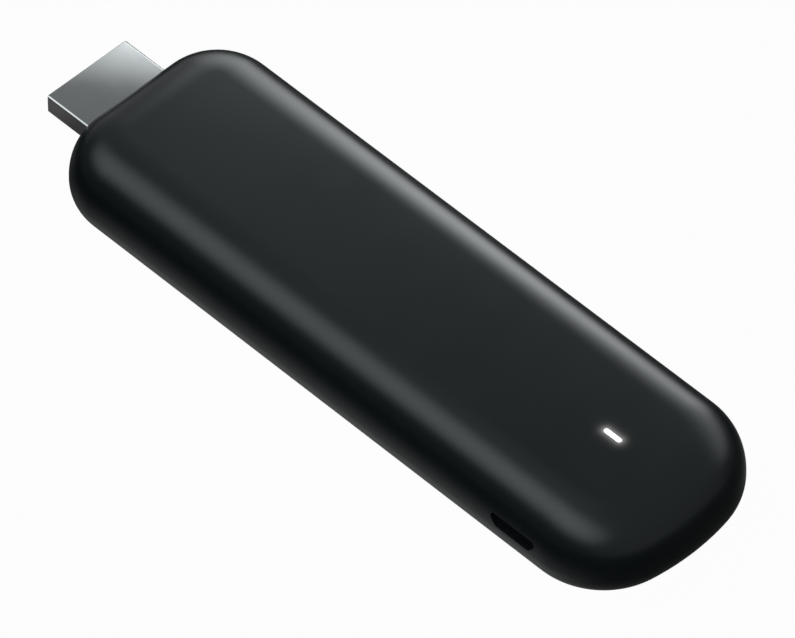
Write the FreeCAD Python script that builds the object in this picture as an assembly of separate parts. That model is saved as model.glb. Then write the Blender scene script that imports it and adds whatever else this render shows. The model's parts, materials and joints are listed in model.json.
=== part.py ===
import FreeCAD, Part
import math
import os

# Streaming media stick: a moulded casing with a video plug at one end, a small
# power socket in one side and a status lamp on top, around one circuit board.
# X runs along the stick, with the plug at the low end and the lamp near the
# high end. The power socket faces low Y, and Z is up. The origin is on the
# resting plane, under the middle of the whole length, plug included.
# All sizes are in millimetres.

# Casing, outside
casing_length = 101.7
casing_width = 32.0
casing_height = 13.1
bulge_height = 5.1
top_round_reach = 8.0
top_round_power = 2.25
bottom_round_reach = 4.8
bottom_round_power = 2.0
plug_end_corner_radius = 9.4
lamp_end_corner_radius = 11.6
lamp_end_nose_radius = 36.0
seam_height = 1.5
seam_groove_height = 0.15
seam_groove_depth = 0.3

# Casing, inside
side_wall = 2.2
ceiling_thickness = 1.8
cavity_round_reach = 6.5
lip_clearance = 0.1
lip_thickness = 0.9
lip_height = 1.7
hook_length = 3.0
hook_depth = 0.4
hook_height = 0.6
hook_clearance = 0.1
hook_pitch = 24.0
hooks_per_side = 3
boss_radius = 1.8
pilot_radius = 0.62
pilot_depth = 4.6
boss_from_plug_end = 13.0
boss_from_lamp_end = 9.5
plug_boss_from_side = 5.4
lamp_boss_from_side = 7.2

# Video plug
plug_reach = 7.85
plug_grip = 6.2
plug_width = 13.9
plug_height = 4.45
plug_centre_height = 4.95
plug_side_drop = 2.9
plug_step_in = 1.2
plug_step_drop = 0.95
plug_corner_radius = 0.3
plug_inner_radius = 0.1
plug_tip_bevel = 0.15
plug_sheet = 0.35
plug_hole_clearance = 0.1
insulator_clearance = 0.04
insulator_setback = 0.6
plug_slot_width = 11.7
plug_slot_height = 1.7
plug_slot_depth = 7.2
plug_contact_pitch = 1.0
plug_contact_width = 0.36
plug_contact_sheet = 0.15
plug_contact_proud = 0.05
plug_contact_setback = 0.5
plug_contact_tail = 2.0
plug_contact_slope = 0.6
upper_contact_count = 10
lower_contact_count = 9
plug_tab_length = 4.0
plug_tab_rise = 1.3
plug_tab_drop = 0.5

# Power socket
socket_from_lamp_end = 16.5
socket_width = 7.5
socket_height = 2.45
socket_side_drop = 1.1
socket_bottom_width = 5.7
socket_depth = 5.0
socket_sheet = 0.25
socket_corner_radius = 0.3
socket_mouth_wall = 0.95
socket_pocket_clearance = 0.15
slot_side_margin = 0.25
slot_sill = 0.05
slot_side_drop = 0.85
slot_corner_radius = 0.5
socket_back_length = 1.5
tongue_width = 3.9
tongue_thickness = 0.6
tongue_setback = 0.9
tongue_lift = 0.15
socket_contact_count = 5
socket_contact_pitch = 0.65
socket_contact_width = 0.35
socket_contact_sheet = 0.12
socket_contact_setback = 0.25
socket_contact_tail = 1.1
socket_peg_radius = 0.3
socket_peg_length = 0.6
socket_peg_inset = 0.6
socket_peg_from_back = 1.25

# Status lamp
lamp_from_lamp_end = 14.85
lamp_window_length = 2.85
lamp_window_width = 0.66
lamp_window_clearance = 0.02
pipe_flange_length = 5.0
pipe_flange_width = 2.8
pipe_flange_thickness = 0.8
pipe_stem_length = 3.2
pipe_stem_width = 1.6
pipe_to_led_gap = 0.3
led_length = 1.6
led_width = 0.8
led_height = 0.6
lamp_foam_wall = 1.0
lamp_foam_height = 2.6
lamp_foam_clearance = 0.1

# Circuit board and its screws
board_thickness = 0.8
board_margin = 0.6
board_to_plug_gap = 0.1
board_slot_clearance = 0.1
peg_hole_clearance = 0.05
screw_shank_radius = 0.6
screw_length = 4.4
screw_head_radius = 1.5
screw_head_height = 0.8
screw_hole_radius = 0.75
screw_recess_width = 1.6
screw_recess_depth = 0.4

# Processor side: shield, chips and heat path, placed from the plug end
shield_from_plug_end = 20.0
shield_end_margin = 2.4
shield_side_margin = 4.0
shield_sheet = 0.2
shield_rim = 1.0
shield_fit = 0.05
shield_skirt = 1.1
processor_size = 14.0
processor_to_memory_gap = 2.9
processor_height = 1.2
processor_pad_thickness = 0.5
pad_margin = 0.5
memory_length = 13.3
memory_width = 7.5
memory_height = 1.0
memory_gap = 1.7
memory_count = 2
crystal_length = 2.5
crystal_width = 2.0
crystal_height = 0.6
crystal_gap = 1.2
bypass_length = 1.0
bypass_width = 0.5
bypass_height = 0.5
bypass_pitch = 1.6
bypass_row_count = 8
bypass_gap = 1.1
bypass_column_count = 7
surge_length = 2.5
surge_width = 1.3
surge_height = 0.55
surge_spacing = 4.6
surge_count = 2
surge_from_plug_end = 10.8
spreader_pad_thickness = 1.0
spreader_pad_margin = 4.0
heat_plate_from_plug_end = 17.0
heat_plate_length = 52.0
heat_plate_width = 20.0
heat_plate_corner = 1.5
heat_plate_step = 1.0
heat_plate_step_width = 1.4
ceiling_foam_thickness = 1.0
ceiling_foam_length = 44.0
ceiling_foam_width = 12.0

# Under the board: flash chip, its shield and the lower heat path
lower_shield_from_plug_end = 32.0
lower_shield_end_margin = 5.5
lower_shield_side_margin = 3.25
lower_shield_height = 1.45
flash_length = 13.0
flash_width = 11.5
flash_height = 1.0
lower_plate_from_plug_end = 19.0
lower_plate_length = 50.0
lower_plate_width = 20.0
lower_plate_thickness = 0.6
lower_pad_margin = 2.0

# Radio and power parts, placed from the lamp end
radio_from_lamp_end = 30.0
radio_size = 11.0
radio_height = 1.8
radio_offset = 5.8
inductor_size = 4.0
inductor_height = 1.8
inductor_gap = 1.0
inductor_count = 3
inductor_from_lamp_end = 26.0
inductor_from_edge = 0.5
inductor_corner = 0.5
power_chip_size = 4.0
power_chip_height = 0.85
power_chip_gap = 0.3
power_cap_length = 2.0
power_cap_width = 1.25
power_cap_height = 1.25
power_cap_pitch = 3.0
power_cap_count = 4
power_cap_from_lamp_end = 26.5
power_cap_gap = 0.2
resistor_length = 1.0
resistor_width = 0.5
resistor_height = 0.35
resistor_pitch = 1.4
resistor_count = 6
resistor_offset = 4.2
antenna_sheet = 0.25
antenna_rise = 3.4
antenna_leg_width = 1.5
side_antenna_from_lamp_end = 13.0
side_antenna_length = 10.5
side_antenna_width = 2.6
side_antenna_from_edge = 1.0
end_antenna_from_lamp_end = 4.2
end_antenna_length = 10.0
end_antenna_width = 2.8

# Places that follow from the sizes above
plug_tip_x = -(plug_reach + casing_length) / 2
casing_plug_x = plug_tip_x + plug_reach
casing_lamp_x = casing_plug_x + casing_length
casing_mid_x = (casing_plug_x + casing_lamp_x) / 2
casing_half_width = casing_width / 2
ceiling_height = casing_height - ceiling_thickness
plug_rear_x = casing_plug_x + plug_grip
board_top = plug_centre_height
board_bottom = board_top - board_thickness
board_start_x = plug_rear_x + board_to_plug_gap
board_inset = side_wall + board_margin
board_half_width = casing_half_width - board_inset
lamp_x = casing_lamp_x - lamp_from_lamp_end
socket_x = casing_lamp_x - socket_from_lamp_end
socket_mouth_y = -(casing_half_width - socket_mouth_wall)
socket_back_y = socket_mouth_y + socket_depth
socket_centre_height = board_top + socket_height / 2
shield_start_x = casing_plug_x + shield_from_plug_end
shield_length = memory_length + processor_to_memory_gap + processor_size + 2 * shield_end_margin
shield_width = processor_size + 2 * shield_side_margin
shield_mid_x = shield_start_x + shield_length / 2
shield_top = board_top + processor_height + processor_pad_thickness
lid_top = shield_top + shield_sheet
heat_plate_bottom = lid_top + spreader_pad_thickness
heat_plate_top = ceiling_height - ceiling_foam_thickness
memory_x = shield_start_x + shield_end_margin + memory_length / 2
processor_x = shield_start_x + shield_length - shield_end_margin - processor_size / 2
inductor_y = -board_half_width + inductor_from_edge + inductor_size / 2
power_chip_y = inductor_y + inductor_size / 2 + power_chip_gap + power_chip_size / 2
power_cap_y = power_chip_y + power_chip_size / 2 + power_cap_gap + power_cap_width / 2
lower_shield_length = flash_length + 2 * lower_shield_end_margin
lower_shield_width = flash_width + 2 * lower_shield_side_margin
lower_shield_bottom = board_bottom - lower_shield_height
lower_plate_top = seam_height + lower_plate_thickness

# Sections that each rounded edge is drawn through, and how far cuts run past a face
section_count = 8
overrun = 1.0


def block(x, y, z):
    """A box between the low and high value given for each axis."""
    corner = FreeCAD.Vector(x[0], y[0], z[0])
    return Part.makeBox(x[1] - x[0], y[1] - y[0], z[1] - z[0], corner)


def about(centre, size):
    """Low and high ends of a size laid centrally about a point."""
    return (centre - size / 2, centre + size / 2)


def rounded_block(x, y, z, radius):
    """A box whose four upright edges are rounded."""
    solid = block(x, y, z)
    upright = [edge for edge in solid.Edges if abs(edge.tangentAt(edge.FirstParameter).z) > 0.99]
    return solid.makeFillet(radius, upright)


def post(x, y, low, high, radius):
    """An upright cylinder between two heights."""
    return Part.makeCylinder(radius, high - low, FreeCAD.Vector(x, y, low))


def stadium(x, y, z, length, width):
    """An upright bar with half-round ends, its length along X."""
    bar = block(about(x, length), about(y, width), z)
    upright = [edge for edge in bar.Edges if abs(edge.tangentAt(edge.FirstParameter).z) > 0.99]
    return bar.makeFillet(width / 2 - 0.005, upright)


def joined(solids):
    """One solid from several that touch or overlap."""
    return solids[0].fuse(solids[1:]).removeSplitter()


def group(solids):
    """Several separate solids kept together in one node."""
    return Part.makeCompound(solids)


def row(count, pitch):
    """Evenly spaced places centred on zero."""
    return [(index - (count - 1) / 2) * pitch for index in range(count)]


def arc(centre_x, centre_y, radius, start_deg, end_deg, z):
    """A level arc, given by its centre and its start and end angles."""
    points = []
    for degrees in (start_deg, (start_deg + end_deg) / 2, end_deg):
        turn = math.radians(degrees)
        x = centre_x + radius * math.cos(turn)
        y = centre_y + radius * math.sin(turn)
        points.append(FreeCAD.Vector(x, y, z))
    return Part.Arc(*points).toShape()


def casing_outline(inset, z):
    """The casing seen from above, drawn inwards by an inset, at height z.

    The plug end is straight between its two corners. The lamp end is a wide
    nose arc that runs into two rounder corners.
    """
    plug_corner_x = casing_plug_x + plug_end_corner_radius
    plug_corner_y = casing_half_width - plug_end_corner_radius
    nose_x = casing_lamp_x - lamp_end_nose_radius
    lamp_corner_y = casing_half_width - lamp_end_corner_radius
    nose_to_corner = lamp_end_nose_radius - lamp_end_corner_radius
    lamp_corner_x = nose_x + math.sqrt(nose_to_corner ** 2 - lamp_corner_y ** 2)
    nose_deg = math.degrees(math.asin(lamp_corner_y / nose_to_corner))
    plug_radius = plug_end_corner_radius - inset
    lamp_radius = lamp_end_corner_radius - inset
    nose_radius = lamp_end_nose_radius - inset
    arcs = [
        arc(plug_corner_x, -plug_corner_y, plug_radius, 180, 270, z),
        arc(lamp_corner_x, -lamp_corner_y, lamp_radius, -90, -nose_deg, z),
        arc(nose_x, 0, nose_radius, -nose_deg, nose_deg, z),
        arc(lamp_corner_x, lamp_corner_y, lamp_radius, nose_deg, 90, z),
        arc(plug_corner_x, plug_corner_y, plug_radius, 90, 180, z),
    ]
    edges = []
    for this, after in zip(arcs, arcs[1:] + arcs[:1]):
        edges.append(this)
        leave = this.valueAt(this.LastParameter)
        arrive = after.valueAt(after.FirstParameter)
        if leave.distanceToPoint(arrive) > 0.001:
            edges.append(Part.makeLine(leave, arrive))
    return Part.Wire(edges)


def rounding(reach, rise, power, degrees):
    """Inset and climb on a rounded edge, from upright at 0 to level at 90 degrees."""
    turn = math.radians(degrees)
    share = 2 / power
    inset = reach * (1 - max(math.cos(turn), 0) ** share)
    climb = rise * math.sin(turn) ** share
    return inset, climb


def rounding_degrees(climb, rise, power):
    """Where on a rounded edge a given climb is reached."""
    return math.degrees(math.asin((climb / rise) ** (power / 2)))


def upper_sections(inset, reach, top):
    """Insets and heights from the bulge up to a flat top."""
    sections = []
    for step in range(section_count + 1):
        degrees = 90 * step / section_count
        drawn_in, climb = rounding(reach, top - bulge_height, top_round_power, degrees)
        sections.append((inset + drawn_in, bulge_height + climb))
    return sections


def lower_sections(low, high):
    """Insets and heights on the lower rounding, from one height up to another."""
    start = rounding_degrees(bulge_height - low, bulge_height, bottom_round_power)
    end = rounding_degrees(bulge_height - high, bulge_height, bottom_round_power)
    sections = []
    for step in range(section_count + 1):
        degrees = start + (end - start) * step / section_count
        drawn_in, drop = rounding(bottom_round_reach, bulge_height, bottom_round_power, degrees)
        sections.append((drawn_in, bulge_height - drop))
    return sections


def lofted(sections):
    """A solid through outlines of the casing, one for each inset and height."""
    wires = [casing_outline(inset, z) for inset, z in sections]
    return Part.makeLoft(wires, True, False)


def outline_prism(inset, low, high):
    """An upright solid with the casing's outline."""
    face = Part.Face(casing_outline(inset, low))
    return face.extrude(FreeCAD.Vector(0, 0, high - low))


def profile_solid(points, start, run):
    """A solid from a flat outline of points, moved from its start along a run."""
    corners = [start + point for point in points]
    face = Part.Face(Part.makePolygon(corners + corners[:1]))
    return face.extrude(run)


def edges_along(solid, direction):
    """The straight edges of a solid that run along a direction."""
    found = []
    for edge in solid.Edges:
        tangent = edge.tangentAt(edge.FirstParameter)
        if edge.Curve.TypeId == "Part::GeomLine" and abs(tangent.dot(direction)) > 0.999:
            found.append(edge)
    return found


def plug_form(shrink, start_x, end_x, radius):
    """The video plug's D-like form, drawn inwards by shrink, between two places on X."""
    half_top = plug_width / 2 - shrink
    half_bottom = half_top - plug_step_in
    half_height = plug_height / 2 - shrink
    step_top = plug_height / 2 - plug_side_drop + shrink / 2
    step_bottom = step_top - plug_step_drop
    side = [(half_top, half_height), (half_top, step_top)]
    right = side + [(half_bottom, step_bottom), (half_bottom, -half_height)]
    left = [(-y, z) for y, z in reversed(right)]
    points = [FreeCAD.Vector(0, y, z) for y, z in right + left]
    start = FreeCAD.Vector(start_x, 0, plug_centre_height)
    solid = profile_solid(points, start, FreeCAD.Vector(end_x - start_x, 0, 0))
    return solid.makeFillet(radius, edges_along(solid, FreeCAD.Vector(1, 0, 0)))


def wide_side_up(half_top, half_bottom, heights, side_drop, start_y, end_y, radius):
    """A form with its wide side up, its sides upright for side_drop, between two places on Y."""
    low, high = heights
    right = [(half_top, high), (half_top, high - side_drop), (half_bottom, low)]
    left = [(-x, z) for x, z in reversed(right)]
    points = [FreeCAD.Vector(x, 0, z) for x, z in right + left]
    start = FreeCAD.Vector(socket_x, start_y, 0)
    solid = profile_solid(points, start, FreeCAD.Vector(0, end_y - start_y, 0))
    return solid.makeFillet(radius, edges_along(solid, FreeCAD.Vector(0, 1, 0)))


def socket_form(shrink, start_y, end_y, radius):
    """The power socket's form, drawn inwards by shrink."""
    half_top = socket_width / 2 - shrink
    half_bottom = socket_bottom_width / 2 - shrink / 2
    heights = (board_top + shrink, board_top + socket_height - shrink)
    return wide_side_up(half_top, half_bottom, heights, socket_side_drop - shrink, start_y, end_y, radius)


def boss_places():
    """Centres of the four screw bosses."""
    places = []
    for side in (-1, 1):
        plug_side_y = side * (casing_half_width - plug_boss_from_side)
        lamp_side_y = side * (casing_half_width - lamp_boss_from_side)
        places.append((casing_plug_x + boss_from_plug_end, plug_side_y))
        places.append((casing_lamp_x - boss_from_lamp_end, lamp_side_y))
    return places


def hook_blocks(extra):
    """The snap hooks of both long sides, or the pockets that take them."""
    inner_y = casing_half_width - side_wall
    low = seam_height + lip_height - hook_height - extra
    high = seam_height + lip_height + extra
    blocks = []
    for along in row(hooks_per_side, hook_pitch):
        x = about(casing_mid_x + along, hook_length + 2 * extra)
        near = inner_y - lip_clearance - lip_thickness / 2
        far = inner_y + hook_depth - hook_clearance + extra
        blocks.append(block(x, (near, far), (low, high)))
        blocks.append(block(x, (-far, -near), (low, high)))
    return blocks


def top_shell():
    lower_side = lofted(lower_sections(seam_height, bulge_height))
    upper_side = lofted(upper_sections(0, top_round_reach, casing_height))
    lower_room = outline_prism(side_wall, seam_height, bulge_height)
    upper_room = lofted(upper_sections(side_wall, cavity_round_reach, ceiling_height))
    shell = lower_side.fuse(upper_side).cut(lower_room.fuse(upper_room))
    bosses = [post(x, y, board_top, ceiling_height, boss_radius) for x, y in boss_places()]
    shell = joined([shell] + bosses)
    pilot_top = board_top + pilot_depth
    pilots = [post(x, y, board_top, pilot_top, pilot_radius) for x, y in boss_places()]
    openings = [lamp_opening(), plug_opening(), socket_slot(), socket_pocket()]
    return shell.cut(pilots + openings + hook_blocks(hook_clearance))


def lamp_opening():
    """The hole in the ceiling that takes the light pipe's window."""
    length = lamp_window_length + 2 * lamp_window_clearance
    width = lamp_window_width + 2 * lamp_window_clearance
    return stadium(lamp_x, 0, (ceiling_height - overrun, casing_height + overrun), length, width)


def plug_opening():
    """The hole in the end wall that the video plug stands out of."""
    inner_x = casing_plug_x + side_wall + overrun
    return plug_form(-plug_hole_clearance, casing_plug_x - overrun, inner_x, plug_corner_radius)


def socket_slot():
    """The slot in the side wall that shows the power socket's mouth."""
    half_top = socket_width / 2 - socket_sheet + slot_side_margin
    heights = (board_top + socket_sheet + slot_sill, board_top + socket_height - socket_sheet)
    outer_y = -casing_half_width - overrun
    inner_y = socket_mouth_y + overrun
    return wide_side_up(half_top, socket_bottom_width / 2, heights, slot_side_drop, outer_y, inner_y, slot_corner_radius)


def socket_pocket():
    """The recess inside the side wall that the power socket stands in."""
    x = about(socket_x, socket_width + 2 * socket_pocket_clearance)
    low = board_bottom - socket_pocket_clearance
    high = board_top + socket_height + socket_pocket_clearance
    return block(x, (socket_mouth_y, -board_half_width + overrun), (low, high))


def bottom_cover():
    plate = lofted(lower_sections(0, seam_height))
    groove_inset = lower_sections(seam_height, bulge_height)[0][0] + seam_groove_depth
    groove_low = seam_height - seam_groove_height
    rim = outline_prism(-overrun, groove_low, seam_height + overrun)
    rim = rim.cut(outline_prism(groove_inset, groove_low, seam_height + overrun))
    lip_outer = side_wall + lip_clearance
    lip_top = seam_height + lip_height
    lip = outline_prism(lip_outer, seam_height, lip_top)
    lip = lip.cut(outline_prism(lip_outer + lip_thickness, seam_height, lip_top))
    cover = joined([plate.cut(rim), lip] + hook_blocks(0))
    plug_bottom = plug_centre_height - plug_height / 2 - plug_hole_clearance
    plug_room_y = about(0, plug_width + 2 * plug_hole_clearance)
    return cover.cut(block((casing_plug_x, board_start_x), plug_room_y, (plug_bottom, lip_top + overrun)))


def light_pipe():
    flange_low = ceiling_height - pipe_flange_thickness
    window = stadium(lamp_x, 0, (ceiling_height, casing_height), lamp_window_length, lamp_window_width)
    flange = stadium(lamp_x, 0, (flange_low, ceiling_height), pipe_flange_length, pipe_flange_width)
    stem_low = board_top + led_height + pipe_to_led_gap
    stem = stadium(lamp_x, 0, (stem_low, flange_low), pipe_stem_length, pipe_stem_width)
    return joined([window, flange, stem])


def lamp_foam():
    heights = (board_top, board_top + lamp_foam_height)
    inner_length = pipe_stem_length + 2 * lamp_foam_clearance
    inner_width = pipe_stem_width + 2 * lamp_foam_clearance
    outer_length = inner_length + 2 * lamp_foam_wall
    outer = stadium(lamp_x, 0, heights, outer_length, inner_width + 2 * lamp_foam_wall)
    return outer.cut(stadium(lamp_x, 0, heights, inner_length, inner_width))


def status_led():
    return block(about(lamp_x, led_length), about(0, led_width), (board_top, board_top + led_height))


def plug_shell():
    outside = plug_form(0, plug_tip_x, plug_rear_x, plug_corner_radius)
    tip_edges = [edge for edge in outside.Edges if abs(edge.BoundBox.XMax - plug_tip_x) < 0.001]
    outside = outside.makeChamfer(plug_tip_bevel, tip_edges)
    inside = plug_form(plug_sheet, plug_tip_x - overrun, plug_rear_x + overrun, plug_inner_radius)
    tabs = []
    for side in (-1, 1):
        y = about(side * (plug_width / 2 - plug_sheet / 2), plug_sheet)
        z = (board_bottom - plug_tab_drop, board_top + plug_tab_rise)
        tabs.append(block((plug_rear_x, plug_rear_x + plug_tab_length), y, z))
    return joined([outside.cut(inside)] + tabs)


def plug_rows():
    """Side offset, plug height, board face and outward direction of every plug contact."""
    upper_face = plug_centre_height + plug_slot_height / 2 - plug_contact_proud
    lower_face = plug_centre_height - plug_slot_height / 2 + plug_contact_proud
    upper = [(y, upper_face, board_top, 1) for y in row(upper_contact_count, plug_contact_pitch)]
    lower = [(y, lower_face, board_bottom, -1) for y in row(lower_contact_count, plug_contact_pitch)]
    return upper + lower


def plug_insulator():
    front_x = plug_tip_x + insulator_setback
    shrink = plug_sheet + insulator_clearance
    body = plug_form(shrink, front_x, plug_rear_x, plug_inner_radius)
    slot_x = (front_x - overrun, front_x + plug_slot_depth)
    slot = block(slot_x, about(0, plug_slot_width), about(plug_centre_height, plug_slot_height))
    channels = []
    width = plug_contact_width + 2 * insulator_clearance
    for y, face, _, outward in plug_rows():
        heights = sorted((face - outward * insulator_clearance, face + outward * plug_contact_sheet))
        channel_x = (front_x + plug_contact_setback, plug_rear_x + overrun)
        channels.append(block(channel_x, about(y, width), heights))
    return body.cut([slot] + channels)


def plug_contacts():
    contacts = []
    front_x = plug_tip_x + insulator_setback + plug_contact_setback
    bend_x = board_start_x
    land_x = bend_x + plug_contact_slope
    tail_x = land_x + plug_contact_tail
    for y, face, board_face, outward in plug_rows():
        sheet = outward * plug_contact_sheet
        shift = plug_contact_sheet / 2
        inner = [(front_x, face), (bend_x, face), (land_x, board_face), (tail_x, board_face)]
        tail = [(tail_x, board_face + sheet), (land_x + shift, board_face + sheet)]
        outer = tail + [(bend_x + shift, face + sheet), (front_x, face + sheet)]
        points = [FreeCAD.Vector(x, 0, z) for x, z in inner + outer]
        start = FreeCAD.Vector(0, y - plug_contact_width / 2, 0)
        contacts.append(profile_solid(points, start, FreeCAD.Vector(0, plug_contact_width, 0)))
    return group(contacts)


def socket_shell():
    outside = socket_form(0, socket_mouth_y, socket_back_y, socket_corner_radius)
    inside_y = (socket_mouth_y - overrun, socket_back_y + overrun)
    inside = socket_form(socket_sheet, inside_y[0], inside_y[1], socket_corner_radius)
    low = board_top - socket_peg_length
    high = board_top + socket_sheet / 2
    pegs = [post(x, y, low, high, socket_peg_radius) for x, y in peg_places()]
    return joined([outside.cut(inside)] + pegs)


def peg_places():
    """Centres of the two pegs that hold the power socket in the board."""
    spread = socket_bottom_width / 2 - socket_peg_inset
    return [(socket_x + side * spread, socket_back_y - socket_peg_from_back) for side in (-1, 1)]


def tongue_height():
    """Middle height of the power socket's tongue."""
    return socket_centre_height + tongue_lift


def socket_contact_faces():
    """Lowest and highest height of the power contacts on the tongue's underside."""
    underside = tongue_height() - tongue_thickness / 2
    return underside - socket_contact_sheet, underside


def socket_tongue():
    root_y = socket_back_y - socket_back_length
    back_radius = socket_corner_radius - insulator_clearance
    back = socket_form(socket_sheet + insulator_clearance, root_y, socket_back_y, back_radius)
    tongue_y = (socket_mouth_y + tongue_setback, root_y)
    tongue = block(about(socket_x, tongue_width), tongue_y, about(tongue_height(), tongue_thickness))
    low, high = socket_contact_faces()
    channels = []
    width = socket_contact_width + 2 * insulator_clearance
    for along in row(socket_contact_count, socket_contact_pitch):
        y = (root_y - overrun, socket_back_y + overrun)
        channels.append(block(about(socket_x + along, width), y, (low - insulator_clearance, high)))
    return joined([back, tongue]).cut(channels)


def socket_contacts():
    contacts = []
    low, high = socket_contact_faces()
    front_y = socket_mouth_y + tongue_setback + socket_contact_setback
    bend_y = socket_back_y
    land_y = bend_y + socket_contact_tail / 2
    tail_y = bend_y + socket_contact_tail + socket_contact_sheet
    for along in row(socket_contact_count, socket_contact_pitch):
        inner = [(front_y, low), (bend_y, low), (land_y, board_top), (tail_y, board_top)]
        tail_top = board_top + socket_contact_sheet
        tail = [(tail_y, tail_top), (land_y + socket_contact_sheet, tail_top)]
        outer = tail + [(bend_y + socket_contact_sheet, high), (front_y, high)]
        points = [FreeCAD.Vector(0, y, z) for y, z in inner + outer]
        start = FreeCAD.Vector(socket_x + along - socket_contact_width / 2, 0, 0)
        contacts.append(profile_solid(points, start, FreeCAD.Vector(socket_contact_width, 0, 0)))
    return group(contacts)


def main_board():
    board = outline_prism(board_inset, board_bottom, board_top)
    ahead = block((casing_plug_x, board_start_x), (-casing_width, casing_width), (0, casing_height))
    board = board.cut(ahead)
    cuts = [post(x, y, 0, casing_height, screw_hole_radius) for x, y in boss_places()]
    for side in (-1, 1):
        y = about(side * (plug_width / 2 - plug_sheet / 2), plug_sheet + 2 * board_slot_clearance)
        tab_end = plug_rear_x + plug_tab_length + board_slot_clearance
        cuts.append(block((casing_plug_x, tab_end), y, (0, casing_height)))
    for x, y in peg_places():
        cuts.append(post(x, y, 0, casing_height, socket_peg_radius + peg_hole_clearance))
    return board.cut(cuts)


def board_screws():
    screws = []
    for x, y in boss_places():
        head = post(x, y, board_bottom - screw_head_height, board_bottom, screw_head_radius)
        shank = post(x, y, board_bottom, board_bottom + screw_length, screw_shank_radius)
        screw = joined([head, shank])
        low = board_bottom - screw_head_height
        for turned in (0, 90):
            heights = (low, low + screw_recess_depth)
            bar = block(about(0, screw_recess_width), about(0, screw_recess_depth), heights)
            bar.rotate(FreeCAD.Vector(0, 0, 0), FreeCAD.Vector(0, 0, 1), turned)
            bar.translate(FreeCAD.Vector(x, y, 0))
            screw = screw.cut(bar)
        screws.append(screw)
    return group(screws)


def processor():
    size = about(processor_x, processor_size)
    return block(size, about(0, processor_size), (board_top, board_top + processor_height))


def processor_pad():
    size = processor_size - 2 * pad_margin
    heights = (board_top + processor_height, shield_top)
    return block(about(processor_x, size), about(0, size), heights)


def memory_chips():
    heights = (board_top, board_top + memory_height)
    places = row(memory_count, memory_width + memory_gap)
    return group([block(about(memory_x, memory_length), about(y, memory_width), heights) for y in places])


def clock_crystal():
    heights = (board_top, board_top + crystal_height)
    y = about(processor_size / 2 + crystal_gap + crystal_width / 2, crystal_width)
    return block(about(processor_x, crystal_length), y, heights)


def bypass_capacitors():
    heights = (board_top, board_top + bypass_height)
    pieces = []
    row_y = about(-(processor_size / 2 + bypass_gap + bypass_length / 2), bypass_length)
    for along in row(bypass_row_count, bypass_pitch):
        pieces.append(block(about(processor_x + along, bypass_width), row_y, heights))
    column_x = memory_x + memory_length / 2 + processor_to_memory_gap / 2
    for across in row(bypass_column_count, bypass_pitch):
        pieces.append(block(about(column_x, bypass_length), about(across, bypass_width), heights))
    return group(pieces)


def surge_chips():
    heights = (board_top, board_top + surge_height)
    x = about(casing_plug_x + surge_from_plug_end, surge_width)
    return group([block(x, about(y, surge_length), heights) for y in row(surge_count, surge_spacing)])


def shield_frame():
    x = (shield_start_x, shield_start_x + shield_length)
    y = about(0, shield_width)
    frame = block(x, y, (board_top, shield_top))
    inner_x = (x[0] + shield_sheet, x[1] - shield_sheet)
    inner_y = (y[0] + shield_sheet, y[1] - shield_sheet)
    room = block(inner_x, inner_y, (board_top, shield_top - shield_sheet))
    window_x = (x[0] + shield_rim, x[1] - shield_rim)
    window_y = (y[0] + shield_rim, y[1] - shield_rim)
    return frame.cut([room, block(window_x, window_y, (board_top, shield_top + overrun))])


def shield_lid():
    reach = shield_fit + shield_sheet
    x = (shield_start_x - reach, shield_start_x + shield_length + reach)
    y = about(0, shield_width + 2 * reach)
    lid = rounded_block(x, y, (shield_top - shield_skirt, lid_top), shield_sheet)
    inner_x = (x[0] + shield_sheet, x[1] - shield_sheet)
    inner_y = (y[0] + shield_sheet, y[1] - shield_sheet)
    return lid.cut(block(inner_x, inner_y, (shield_top - shield_skirt, shield_top)))


def spreader_pad():
    x = about(shield_mid_x, shield_length - 2 * spreader_pad_margin)
    y = about(0, shield_width - 2 * spreader_pad_margin)
    return block(x, y, (lid_top, heat_plate_bottom))


def heat_plate():
    start = casing_plug_x + heat_plate_from_plug_end
    x = (start, start + heat_plate_length)
    y = about(0, heat_plate_width)
    base = rounded_block(x, y, (heat_plate_bottom, heat_plate_bottom + heat_plate_step), heat_plate_corner)
    inner_x = (x[0] + heat_plate_step_width, x[1] - heat_plate_step_width)
    inner_y = (y[0] + heat_plate_step_width, y[1] - heat_plate_step_width)
    raised = rounded_block(inner_x, inner_y, (heat_plate_bottom, heat_plate_top), heat_plate_corner)
    return joined([base, raised])


def ceiling_foam():
    x = about(casing_plug_x + heat_plate_from_plug_end + heat_plate_length / 2, ceiling_foam_length)
    return block(x, about(0, ceiling_foam_width), (heat_plate_top, ceiling_height))


def lower_span():
    """Length and width ranges of the lower shield."""
    start = casing_plug_x + lower_shield_from_plug_end
    return (start, start + lower_shield_length), about(0, lower_shield_width)


def flash_chip():
    x, _ = lower_span()
    middle = (x[0] + x[1]) / 2
    heights = (board_bottom - flash_height, board_bottom)
    return block(about(middle, flash_length), about(0, flash_width), heights)


def lower_shield():
    x, y = lower_span()
    can = block(x, y, (lower_shield_bottom, board_bottom))
    inner_x = (x[0] + shield_sheet, x[1] - shield_sheet)
    inner_y = (y[0] + shield_sheet, y[1] - shield_sheet)
    return can.cut(block(inner_x, inner_y, (lower_shield_bottom + shield_sheet, board_bottom)))


def flash_pad():
    x, _ = lower_span()
    middle = (x[0] + x[1]) / 2
    heights = (lower_shield_bottom + shield_sheet, board_bottom - flash_height)
    length = flash_length - 2 * pad_margin
    return block(about(middle, length), about(0, flash_width - 2 * pad_margin), heights)


def lower_pad():
    x, y = lower_span()
    pad_x = (x[0] + lower_pad_margin, x[1] - lower_pad_margin)
    pad_y = (y[0] + lower_pad_margin, y[1] - lower_pad_margin)
    return block(pad_x, pad_y, (lower_plate_top, lower_shield_bottom))


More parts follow.
